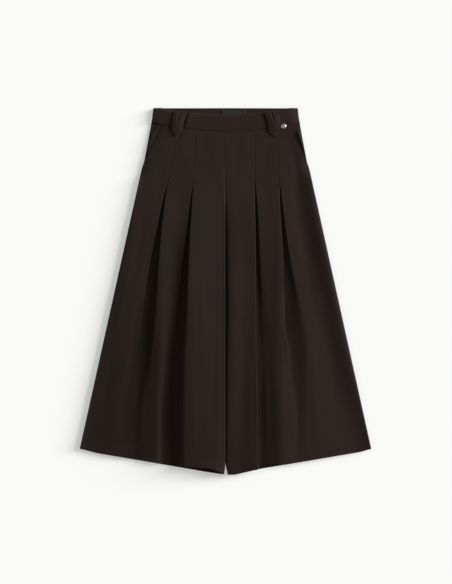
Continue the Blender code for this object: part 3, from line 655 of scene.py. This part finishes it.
def shell(name, grid, outer, inner=None):
    """A closed thin shell around a grid of points in millimetres, with rounded edges.

    outer and inner are how far its two faces stand off the grid, as numbers or arrays.
    """
    rows, columns = grid.shape[:2]
    outer = np.broadcast_to(outer, (rows, columns))
    inner = outer if inner is None else inner
    normal = normals(grid)
    if normal[:, :, 2].mean() < 0:
        grid, outer, inner = grid[:, ::-1], outer[:, ::-1], inner[:, ::-1]
        normal = normals(grid)
    top = grid + outer[:, :, None] * normal
    bottom = grid - inner[:, :, None] * normal
    size = rows * columns
    index = np.arange(size).reshape(rows, columns)
    a, b = index[:-1, :-1].ravel(), index[:-1, 1:].ravel()
    c, d = index[1:, 1:].ravel(), index[1:, :-1].ravel()
    rim = [(0, j) for j in range(columns)]
    rim += [(i, columns - 1) for i in range(1, rows)]
    rim += [(rows - 1, j) for j in range(columns - 2, -1, -1)]
    rim += [(i, 0) for i in range(rows - 2, 0, -1)]
    rim = np.array(rim)
    points = np.concatenate((top.reshape(-1, 3), bottom.reshape(-1, 3),
                             rim_line(grid, top, bottom, rim)))
    first = index[rim[:, 0], rim[:, 1]]
    middle = 2 * size + np.arange(len(rim))
    following = np.roll(np.arange(len(rim)), -1)
    faces = np.concatenate((
        np.stack((a, b, c, d), 1),
        np.stack((a, d, c, b), 1) + size,
        np.stack((first, middle, middle[following], first[following]), 1),
        np.stack((middle, first + size, first[following] + size, middle[following]), 1),
    ))
    mesh = new_mesh(name, points, faces.tolist())
    add_grain(mesh, grid, rim)
    return add_object(name, mesh)


def rim_line(grid, top, bottom, rim):
    """The middle line of the rounded rim, a little out past the grid's edge."""
    rows, columns = grid.shape[:2]
    i, j = rim.T
    away = unit(grid[i, j] - grid[np.clip(i, 1, rows - 2), np.clip(j, 1, columns - 2)])
    thick = norm(top[i, j] - bottom[i, j], axis=1, keepdims=True)
    return (top[i, j] + bottom[i, j]) / 2 + RIM_BULGE * thick * away


def add_grain(mesh, grid, rim):
    """A UV map in metres along the cloth, so that the weave isn't stretched over a fold."""
    across = np.pad(norm(np.diff(grid, axis=1), axis=2).cumsum(axis=1), ((0, 0), (1, 0)))
    down = np.pad(norm(np.diff(grid, axis=0), axis=2).mean(axis=1).cumsum(), (1, 0))[:, None]
    uv = np.stack(np.broadcast_arrays(across, down), axis=2) * MM
    face = uv.reshape(-1, 2)
    uv = np.concatenate((face, face, uv[rim[:, 0], rim[:, 1]]))
    layer = mesh.uv_layers.new(name="grain")
    corner = np.zeros(len(mesh.loops), np.int32)
    mesh.loops.foreach_get("vertex_index", corner)
    layer.data.foreach_set("uv", uv[corner].astype(np.float32).ravel())


def link_object(name, data):
    """A new object in the scene."""
    obj = bpy.data.objects.new(name, data)
    bpy.context.scene.collection.objects.link(obj)
    return obj


def new_mesh(name, points, faces):
    """A mesh of points in millimetres."""
    mesh = bpy.data.meshes.new(name)
    mesh.from_pydata((np.array(points) * MM).tolist(), [], faces)
    return mesh


def add_object(name, mesh):
    """A mesh's object, with its faces turned outward and shaded smooth."""
    fixed = bmesh.new()
    fixed.from_mesh(mesh)
    bmesh.ops.recalc_face_normals(fixed, faces=fixed.faces)
    fixed.to_mesh(mesh)
    fixed.free()
    mesh.shade_smooth()
    mesh.set_sharp_from_angle(angle=SHARP_ANGLE)
    return link_object(name, mesh)


def tube_faces(first, rings, sides):
    """The faces of a tube through rings of points, with both ends closed."""
    faces = []
    for low in range(first, first + (rings - 1) * sides, sides):
        for k in range(sides):
            n = (k + 1) % sides
            faces.append((low + k, low + n, low + sides + n, low + sides + k))
    last = first + (rings - 1) * sides
    faces.append(tuple(range(first + sides - 1, first - 1, -1)))
    faces.append(tuple(range(last, last + sides)))
    return faces


def cut_of(grid):
    """(flat width, flat length, flat area) of a grid of cloth, in metres and square metres."""
    width = norm(np.diff(grid, axis=1), axis=2).sum(axis=1).max() * MM
    length = norm(np.diff(grid, axis=0), axis=2).sum(axis=0).max() * MM
    one = np.cross(grid[1:, 1:] - grid[:-1, :-1], grid[1:, :-1] - grid[:-1, 1:])
    area = norm(one, axis=2).sum() / 2 * MM**2
    return float(width), float(length), float(area)


def declare_cloth(piece, node, grid, material):
    """Gives a piece of cloth its material, puts it under the root, hides the solid that it stands
    for and prints its flat cut.
    """
    piece.data.materials.append(material)
    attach(piece, "root")
    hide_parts(node)
    width, length, area = cut_of(grid)
    print(f"{piece.name}: cut {width * 1000:.0f} x {length * 1000:.0f} mm, {area:.4f} m2")


# ---- cloth pieces


def front_fractions():
    """The rows down a front, closer together at the seam and at the hem."""
    body = np.arange(TOP_ROWS[-1] + BODY_ROW_STEP, FRONT_LENGTH - HEM_ROWS[0], BODY_ROW_STEP)
    rows = [*TOP_ROWS, *body, *(FRONT_LENGTH - np.array(HEM_ROWS))]
    return np.array(rows) / FRONT_LENGTH


def front_grid(leg):
    """A front's grid, each point's distance above the hem, and half the shell's thickness."""
    rows = []
    for v in front_fractions():
        out, lift, height = spline(front_section(leg, v), SPAN_SAMPLES).T
        rows.append(np.stack((out, drop_at(leg, out, v, lift), height), axis=1))
    out, drop, height = np.moveaxis(np.array(rows), 2, 0)
    above_seam = drop - seam_drop(out)
    above_hem = hem_drop(leg, out) - drop
    free = ease((height - FLOOR_HEIGHT) / FREE_HEIGHT)
    rise = crease_rise(leg.creases, out, drop) + ripple_rise(leg.sign * out, drop)
    pucker = np.prod([np.sin(out * a + b) for a, b in PUCKER_WAVES], axis=0)
    rise += PUCKER * pucker * np.exp(-above_seam / PUCKER_REACH)
    rise -= SEAM_TUCK * np.exp(-above_seam / SEAM_TUCK_REACH)
    rise -= HEM_STITCH_DIP * np.exp(-(((above_hem - HEM_DEPTH) / HEM_STITCH_REACH) ** 2))
    rise -= HEM_ROLL * np.exp(-((above_hem / HEM_ROLL_REACH) ** 2))
    at_mouth = np.exp(-(((out[:, :1] - out) / MOUTH_REACH) ** 2))
    at_mouth *= ease((POCKET_END - drop) / MOUTH_FADE)
    height = height + (CLOTH / 2 - SHELL) + rise * free - MOUTH_PRESS[leg.name] * at_mouth
    half = SHELL * (1 - MOUTH_THIN * at_mouth**2)
    return laid(leg.sign * out, drop, height), above_hem, half


def front_leg(leg):
    """A front panel, with its hem turned up inside."""
    grid, above_hem, half = front_grid(leg)
    room = np.clip((grid[:, :, 2] - FLOOR_HEIGHT) * HEM_ROOM, 0, HEM_FOLD)
    inner = half + room * ease((HEM_DEPTH - above_hem) / HEM_FOLD_EDGE)
    piece = shell(f"front_leg_{leg.name}_cloth", grid, half, inner)
    place_painted_shade(leg, piece)
    return piece, grid


def place_painted_shade(leg, piece):
    """Gives each of a front's points its share of the painted shade."""
    points = np.zeros(len(piece.data.vertices) * 3)
    piece.data.vertices.foreach_get("co", points)
    points = points.reshape(-1, 3) / MM
    shade = painted_shade_at(leg.nap, leg.sign * points[:, 0], LENGTH / 2 - points[:, 1])
    layer = piece.data.attributes.new("nap", "FLOAT", "POINT")
    layer.data.foreach_set("value", shade)


def back_leg(leg):
    """The back panel, which lies on the surface with a few soft creases."""
    top = BACK_BAND_DEPTH + SEAM_GAP
    low = hem_drop(leg, leg.hem[0].out)
    rows = []
    count = int((low - top) / BACK_STEP)
    for v in np.arange(count + 1) / count:
        across = []
        for u in np.arange(BACK_COLUMNS + 1) / BACK_COLUMNS:
            # the hem slants, so each column runs to its own place on the hem
            hem_out = SEAM_GAP / 2 + leg.notch + u * (leg.hem[-1].out - SEAM_GAP / 2 - leg.notch)
            drop = top + v * (hem_drop(leg, hem_out) - top)
            inner = SEAM_GAP / 2 + notch_out(leg, drop)
            out = inner + u * (side_out(drop) - inner)
            across.append((out, drop))
        rows.append(across)
    out, drop = np.moveaxis(np.array(rows), 2, 0)
    height = BACK_THIN / 2 + np.clip(crease_rise(BACK_CREASES, out, drop), 0, BACK_RISE_MOST)
    grid = laid(leg.sign * out, drop, height)
    return shell(f"back_leg_{leg.name}_cloth", grid, BACK_THIN / 2), grid


def build_legs(cloth):
    """The back and front panels. Returns the fronts by the leg's name."""
    fronts = {}
    for leg in LEGS:
        back, grid = back_leg(leg)
        declare_cloth(back, f"back_leg_{leg.name}", grid, cloth)
        front, grid = front_leg(leg)
        declare_cloth(front, f"front_leg_{leg.name}", grid, cloth)
        fronts[leg.name] = front
    return fronts


def band_front_grid(columns=150):
    """The front band's grid: it turns down at both sides and sinks beside the loops."""
    grid = []
    for v in BAND_ROWS:
        across = np.sin((np.arange(columns + 1) / columns - 0.5) * math.pi)
        edge = side_out(BAND_EDGE_TOP + BAND_EDGE_FALL * v)
        out = np.abs(across) * edge
        drop = band_top_drop(out) + v * (seam_drop(out) - band_top_drop(out))
        fall = np.maximum(0.0, (out - edge + BAND_TURN) / BAND_TURN)
        side_height = np.where(across < 0, BAND_LEFT_HEIGHT, BAND_SIDE_HEIGHT)
        height = BAND_HEIGHT + (side_height - BAND_HEIGHT) * fall**2
        height += BAND_CROWN * math.sin(math.pi * v) * (1 - fall)
        x = np.copysign(out, across)
        height += BAND_WAVE * np.sin(x * 0.071 + 1.0) * np.sin(x * 0.033 + v * 2.0)
        beside = measure(LOOP, "medial", drop) - out
        dent = np.exp(-((beside / LOOP_DENT_REACH) ** 2))
        height -= LOOP_DENT * dent * ease((LOOP_DENT_END - drop) / LOOP_DENT_FADE)
        height -= BAND_ROLL * math.exp(-((v * BAND_DEPTH / BAND_ROLL_REACH) ** 2))
        grid.append(laid(x, drop, height))
    return np.array(grid)


def band_half(edge, least, reach):
    """Half the band's thickness, which is less near its edges."""
    return BAND_CLOTH / 2 * (least + (1 - least) * ease(edge / reach))[:, None]


def waistband_front():
    """The front half of the band."""
    grid = band_front_grid()
    v = np.array(BAND_ROWS)
    half = band_half(np.minimum(v, 1 - v) * BAND_DEPTH, *FRONT_EDGE)
    return shell("waistband_front_cloth", grid, half), grid


def waistband_back(body_rows=12):
    """The back half of the band, flat, with rounded upper corners."""
    rows = []
    drops = np.concatenate((BACK_BAND_TOP, np.linspace(BACK_BAND_BODY, BACK_BAND_DEPTH, body_rows)))
    for drop in drops:
        near = max(0.0, BAND_CORNER - drop)
        inset = BAND_CORNER - math.sqrt(BAND_CORNER**2 - near**2)
        end = float(side_out(max(drop, BAND_CORNER))) - inset
        rows.append(laid(np.linspace(-end, end, BACK_BAND_COLUMNS), drop, BAND_CLOTH / 2))
    grid = np.array(rows)
    half = band_half(np.minimum(drops, BACK_BAND_DEPTH - drops), *BACK_EDGE)
    return shell("waistband_back_cloth", grid, half), grid


def fading(drop, full, gone):
    """1 above the drop full, 0 below the drop gone, and even between."""
    return min(1.0, max(0.0, (gone - drop) / (gone - full)))


def pocket_facing(leg, rows=36):
    """The facing inside a pocket's mouth, which puffs up beside it."""
    top = seam_drop(FACING_TOP_OUT) + SEAM_GAP
    grid = []
    for i in range(rows + 1):
        drop = top + i / rows * (FACING_END - top)
        mouth = pocket_out(drop)
        width = side_out(drop) - FACING_INSET - mouth
        puff = fading(drop, leg.roll.full, leg.roll.flat)
        crest = leg.roll.crest * (1 - fading(drop, FACING_SHUT, FACING_OPEN))
        base = FACING_HEIGHT + (BAND_CLOTH - BACK_CLOTH) * fading(drop, FACING_HIGH, FACING_LOW)
        points = []
        for point in FACING:
            out = mouth + point.width * width - point.reach
            height = base + puff * (point.crest * crest + point.mouth * leg.roll.mouth)
            points.append((out, height))
        out, height = spline(points, SPAN_SAMPLES).T
        if i == 0:
            drop = np.maximum(drop, seam_drop(out) + SEAM_GAP)
        grid.append(laid(leg.sign * out, drop, height))
    grid = np.array(grid)
    return shell(f"pocket_facing_{leg.name}_cloth", grid, FACING_CLOTH / 2), grid


def belt_loop(leg, columns=36, rows=46):
    """A pointed loop, creased down its upper part."""
    grid = []
    u = np.arange(columns + 1) / columns
    for drop in np.linspace(LOOP[0].drop, LOOP[-1].drop, rows):
        medial, lateral = measure(LOOP, "medial", drop), measure(LOOP, "lateral", drop)
        beside = u - LOOP_CREASE - LOOP_CREASE_LEAN * (drop - LOOP_CREASE_TURN)
        crease = np.exp(-((beside / LOOP_CREASE_WIDTH) ** 2))
        crease *= ease((LOOP_CREASE_END - drop) / LOOP_CREASE_FADE)
        rise = measure(LOOP, "height", drop) + measure(LOOP, "bow", drop) * np.sin(math.pi * u)
        out = medial + u * (lateral - medial)
        grid.append(laid(leg.sign * out, drop, rise - LOOP_CREASE_DEPTH * crease))
    grid = np.array(grid)
    press = ease((u - LOOP_PRESS_FROM) / (1 - LOOP_PRESS_FROM)) * (leg.sign < 0)
    grid[:, :, 2] -= LOOP_PRESS * press
    half = LOOP_CLOTH / 2 * (1 - LOOP_THIN * press)
    return shell(f"belt_loop_{leg.name}_cloth", grid, half), grid


def waist_label(columns=64, rows=26):
    """A blank woven label, a little wavy where its stitches pull."""
    x = np.linspace(LABEL_LEFT, LABEL_RIGHT, columns)
    drop = np.linspace(LABEL_TOP, LABEL_BOTTOM, rows)[:, None]
    wave = LABEL_WAVE * np.sin(x * 0.35 + 0.6) * np.sin(drop * 0.5)
    grid = laid(x, drop, LABEL_HEIGHT + wave)
    return shell("waist_label_tape", grid, LABEL_CLOTH / 2), grid


def stud():
    """A plain domed stud with a rolled rim."""
    turn = np.linspace(0, 2 * math.pi, STUD_SIDES, endpoint=False)
    points = [laid(STUD_OUT + ring.radius * np.cos(turn), STUD_DROP - ring.radius * np.sin(turn),
                   STUD_BASE + ring.height) for ring in STUD_RINGS]
    faces = tube_faces(0, len(STUD_RINGS), STUD_SIDES)
    return add_object("stud_metal", new_mesh("stud_metal", np.concatenate(points), faces))


# ---- stitches


def resample(line, spacing):
    """Points this far apart along a line of (x, y) in millimetres."""
    line = np.asarray(line, float)
    along = np.concatenate(([0.0], norm(np.diff(line, axis=0), axis=1).cumsum()))
    at = np.arange(0, along[-1], spacing)
    return np.stack((np.interp(at, along, line[:, 0]), np.interp(at, along, line[:, 1])), axis=1)


def running(line):
    """The two ends of each stitch along a line."""
    points = resample(line, STITCH_LENGTH + STITCH_GAP)
    part = STITCH_LENGTH / (STITCH_LENGTH + STITCH_GAP)
    return [(a, a + part * (b - a)) for a, b in zip(points, points[1:])]


def bar(leg_sign, tack):
    """The two ends of each crossing stitch of a bar tack."""
    ends = []
    for k in range(int(tack.length / BAR_STEP)):
        along = (k + 0.5) * BAR_STEP - tack.length / 2
        across = np.array((BAR_LEAN if k % 2 else -BAR_LEAN, tack.width / 2))
        middle = np.array((along, 0))
        if tack.upright:
            across, middle = across[::-1], middle[::-1]
        middle = middle + (leg_sign * tack.out, LENGTH / 2 - tack.drop)
        ends.append((middle - across, middle + across))
    return ends


def sew(name, ends, surface, thread, sides=6, rings=5):
    """Short bent threads that dip into the cloth at both ends."""
    vertices = [surface.matrix_world @ v.co for v in surface.data.vertices]
    tree = BVHTree.FromPolygons(vertices, [tuple(p.vertices) for p in surface.data.polygons])
    points, faces = [], []
    for start, end in ends:
        direction = (end - start) / norm(end - start)
        side = np.array((-direction[1], direction[0]))
        first = len(points)
        for i in range(rings):
            t = i / (rings - 1)
            x, y = start + t * (end - start)
            hit = tree.ray_cast(Vector((x * MM, y * MM, RAY_START * MM)), Vector((0, 0, -1)))[0]
            if hit is None:
                break
            bow = math.sin(math.pi * t)
            lift = hit.z / MM + THREAD * (STITCH_LIFT * bow - STITCH_SINK)
            thin = THREAD * (STITCH_ENDS + (1 - STITCH_ENDS) * bow)
            for k in range(sides):
                turn = 2 * math.pi * k / sides
                across = thin * math.cos(turn)
                points.append((x + across * side[0], y + across * side[1],
                               lift + thin * math.sin(turn)))
        if len(points) - first < rings * sides:
            del points[first:]
            continue
        faces += tube_faces(first, rings, sides)
    piece = add_object(name, new_mesh(name, points, faces))
    piece.data.materials.append(thread)
    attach(piece, "root")
    return piece


def loop_line(leg, samples=30):
    """The edge stitching of a loop, down its inner edge, round the point and up again."""
    top, point = LOOP[0].drop + LOOP_STITCH_TOP, LOOP[-1].drop - LOOP_STITCH_POINT
    drops = np.linspace(top, point, samples)
    down = [(leg.sign * (measure(LOOP, "medial", d) + STITCH_INSET), LENGTH / 2 - d) for d in drops]
    up = [(leg.sign * (measure(LOOP, "lateral", d) - STITCH_INSET), LENGTH / 2 - d) for d in drops]
    return down + up[::-1]


def mouth_line(leg, samples=24):
    """The stitching beside a pocket's mouth."""
    drops = np.linspace(seam_drop(FACING_TOP_OUT) + MOUTH_STITCH_TOP, FACING_END, samples)
    return [(leg.sign * (pocket_out(d) - MOUTH_STITCH_INSET), LENGTH / 2 - d) for d in drops]


def label_line():
    """The stitching round the label."""
    left, right = LABEL_LEFT + LABEL_STITCH_INSET, LABEL_RIGHT - LABEL_STITCH_INSET
    top = LENGTH / 2 - LABEL_TOP - LABEL_STITCH_INSET
    bottom = LENGTH / 2 - LABEL_BOTTOM + LABEL_STITCH_INSET
    return [(left, top), (right, top), (right, bottom), (left, bottom), (left, top)]


# ---- materials


# How high the finest grain stands, in metres
FINE_BUMP = 0.0001
TWILL_BUMP = 0.0002
# Each material's dark and light colour
CLOTH_COLOURS = ((0.0174, 0.0106, 0.0081), (0.0225, 0.0136, 0.0104))
THREAD_COLOURS = ((0.01, 0.006, 0.0045), (0.022, 0.0135, 0.0103))
TAPE_COLOURS = ((0.0052, 0.0045, 0.0046), (0.007, 0.0061, 0.0063))
METAL_COLOURS = ((0.6, 0.52, 0.49), (0.72, 0.64, 0.61))


def new_material(name):
    """A new material, its node tree and its shader."""
    material = bpy.data.materials.new(name)
    material.use_nodes = True
    tree = material.node_tree
    return material, tree, tree.nodes["Principled BSDF"]


def feed(tree, made, values):
    """Gives a node's inputs numbers, colours of three numbers or other nodes' outputs."""
    for name, value in values.items():
        if isinstance(value, bpy.types.NodeSocket):
            tree.links.new(value, made.inputs[name])
        else:
            made.inputs[name].default_value = (*value, 1) if isinstance(value, tuple) else value


def node(tree, kind, values, **settings):
    """A new shader node."""
    made = tree.nodes.new("ShaderNode" + kind)
    for key, value in settings.items():
        setattr(made, key, value)
    feed(tree, made, values)
    return made


def two_tone(tree, factor, dark, light):
    """A colour between two, by a factor."""
    mixed = node(tree, "Mix", {"Factor": factor, "A": dark, "B": light}, data_type="RGBA")
    return mixed.outputs["Result"]


def bump(tree, height, strength, distance):
    """A normal bent by a height."""
    values = {"Height": height, "Strength": strength, "Distance": distance}
    return node(tree, "Bump", values).outputs["Normal"]


def cloth_material():
    """Brown twill: a fine mottle, painted shade over it, and diagonal ribs."""
    material, tree, shader = new_material("brown_twill")
    grain = node(tree, "UVMap", {}, uv_map="grain").outputs["UV"]
    mottle = node(tree, "TexNoise", {"Vector": grain, "Scale": 900.0, "Detail": 3.0})
    spread = node(tree, "MapRange",
                  {"Value": mottle.outputs["Fac"], "From Min": 0.3, "From Max": 0.6})
    colour = two_tone(tree, spread.outputs["Result"], *CLOTH_COLOURS)
    # Painted shade from each point darkens the colour towards black.
    nap = node(tree, "Attribute", {}, attribute_name="nap").outputs["Fac"]
    twill = node(tree, "TexWave",
                 {"Vector": grain, "Scale": 420.0, "Distortion": 1.2, "Detail": 2.0},
                 wave_type="BANDS", bands_direction="DIAGONAL")
    feed(tree, shader, {
        "Base Color": two_tone(tree, nap, colour, (0, 0, 0)),
        "Normal": bump(tree, twill.outputs["Fac"], 0.25, TWILL_BUMP), "Roughness": 0.82,
        "Specular IOR Level": 0.1, "Sheen Weight": 0.03, "Sheen Roughness": 0.4,
        "Sheen Tint": (0.9, 0.66, 0.52)})
    return material


def object_noise(tree, values):
    """A noise in an object's own space."""
    where = node(tree, "TexCoord", {}).outputs["Object"]
    return node(tree, "TexNoise", {"Vector": where, **values}).outputs["Fac"]


def grained(tree, shader, colours, scale, strength):
    """A fine two-tone grain with a matching bump."""
    grain = object_noise(tree, {"Scale": scale, "Detail": 4.0})
    feed(tree, shader, {"Base Color": two_tone(tree, grain, *colours),
                        "Normal": bump(tree, grain, strength, FINE_BUMP)})


def thread_material():
    """Sewing thread in the cloth's colour."""
    material, tree, shader = new_material("brown_thread")
    grained(tree, shader, THREAD_COLOURS, 2600.0, 0.3)
    feed(tree, shader, {"Roughness": 0.6, "Specular IOR Level": 0.15})
    return material


def tape_material():
    """The label's satin weave."""
    material, tree, shader = new_material("label_tape")
    grain = node(tree, "UVMap", {}, uv_map="grain").outputs["UV"]
    ribs = node(tree, "TexWave", {"Vector": grain, "Scale": 600.0, "Distortion": 0.4},
                wave_type="BANDS", bands_direction="Y").outputs["Fac"]
    feed(tree, shader, {"Base Color": two_tone(tree, ribs, *TAPE_COLOURS),
                        "Normal": bump(tree, ribs, 0.2, FINE_BUMP), "Roughness": 0.5})
    return material


def metal_material():
    """Polished metal with fine wear that makes its shine uneven."""
    material, tree, shader = new_material("warm_silver")
    grained(tree, shader, METAL_COLOURS, 900.0, 0.04)
    wear = object_noise(tree, {"Scale": 400.0})
    rough = node(tree, "MapRange", {"Value": wear, "To Min": 0.16, "To Max": 0.34})
    feed(tree, shader, {"Roughness": rough.outputs["Result"], "Metallic": 1.0})
    return material


# ---- the stage

PICTURE_HEIGHT = 1.5028
PICTURE_CENTRE = (0.0012, -0.0014)
CAMERA_DISTANCE = 5.0
CAMERA_AIM_HEIGHT = 0.006
SENSOR = 36.0


def camera():
    """The camera, straight above."""
    data = bpy.data.cameras.new("camera")
    data.sensor_width = SENSOR
    data.lens = SENSOR * CAMERA_DISTANCE / PICTURE_HEIGHT
    eye = link_object("camera", data)
    eye.location = (*PICTURE_CENTRE, CAMERA_DISTANCE + CAMERA_AIM_HEIGHT)
    bpy.context.scene.camera = eye


FLOOR_SIZE = 30.0
FLOOR_SINK = 0.0004
FLOOR_GLOW = 0.352
FLOOR_COLOUR = (0.6, 0.6, 0.595)
Sun = namedtuple("Sun", "name toward strength angle")
SUNS = (
    Sun("key", (0.893, 0.29, 0.342), 4.7, 0.45),
    Sun("low", (0.969, 0.206, 0.139), 3.4, 0.22),
)
SKY_STRENGTH = 0.35


def floor():
    """The pale surface that the garment lies on."""
    mesh = bpy.data.meshes.new("floor")
    corners = [(x * FLOOR_SIZE, y * FLOOR_SIZE, 0) for x, y in ((-1, -1), (1, -1), (1, 1), (-1, 1))]
    mesh.from_pydata(corners, [], [(0, 1, 2, 3)])
    material, tree, shader = new_material("pale_surface")
    feed(tree, shader, {"Base Color": FLOOR_COLOUR, "Roughness": 1.0, "Specular IOR Level": 0.0,
                        "Emission Color": (1.0, 1.0, 0.97), "Emission Strength": FLOOR_GLOW})
    mesh.materials.append(material)
    obj = link_object("floor", mesh)
    obj.location.z = -FLOOR_SINK


def lights():
    """Two low suns from the right, and an even sky."""
    for sun in SUNS:
        data = bpy.data.lights.new(sun.name, "SUN")
        data.energy = sun.strength
        data.angle = sun.angle
        light = link_object(sun.name, data)
        light.rotation_euler = Vector(sun.toward).to_track_quat("Z", "Y").to_euler()
    world = bpy.data.worlds.new("studio")
    bpy.context.scene.world = world
    world.use_nodes = True
    sky = world.node_tree.nodes["Background"]
    feed(world.node_tree, sky, {"Color": (1.0, 1.0, 1.0), "Strength": SKY_STRENGTH})


def build_waist(cloth, tape, metal):
    """The bands, loops, facings, label and stud. Returns what stitches go on."""
    band_back, grid = waistband_back()
    declare_cloth(band_back, "waistband_back", grid, cloth)
    band_front, grid = waistband_front()
    declare_cloth(band_front, "waistband_front", grid, cloth)
    made = {}
    for leg in LEGS:
        facing, grid = pocket_facing(leg)
        declare_cloth(facing, f"pocket_facing_{leg.name}", grid, cloth)
        loop, grid = belt_loop(leg)
        declare_cloth(loop, f"belt_loop_{leg.name}", grid, cloth)
        made[leg.name] = loop
    label, grid = waist_label()
    declare_cloth(label, "waist_label", grid, tape)
    made["label"] = label
    button = stud()
    button.data.materials.append(metal)
    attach(button, "root")
    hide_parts("stud")
    return made


def sew_all(made, fronts, thread):
    """The topstitching and bar tacks."""
    for leg in LEGS:
        ends = running(loop_line(leg)) + bar(leg.sign, LOOP_BARS[leg.name])
        sew(f"loop_stitches_{leg.name}", ends, made[leg.name], thread)
        ends = running(mouth_line(leg)) + bar(leg.sign, POCKET_BAR)
        sew(f"pocket_stitches_{leg.name}", ends, fronts[leg.name], thread)
    sew("label_stitches", running(label_line()), made["label"], thread)


def main():
    """Makes the whole scene."""
    cloth = cloth_material()
    thread = thread_material()
    camera()
    floor()
    lights()
    fronts = build_legs(cloth)
    made = build_waist(cloth, tape_material(), metal_material())
    sew_all(made, fronts, thread)
    bpy.context.scene.view_settings.view_transform = "Standard"


main()
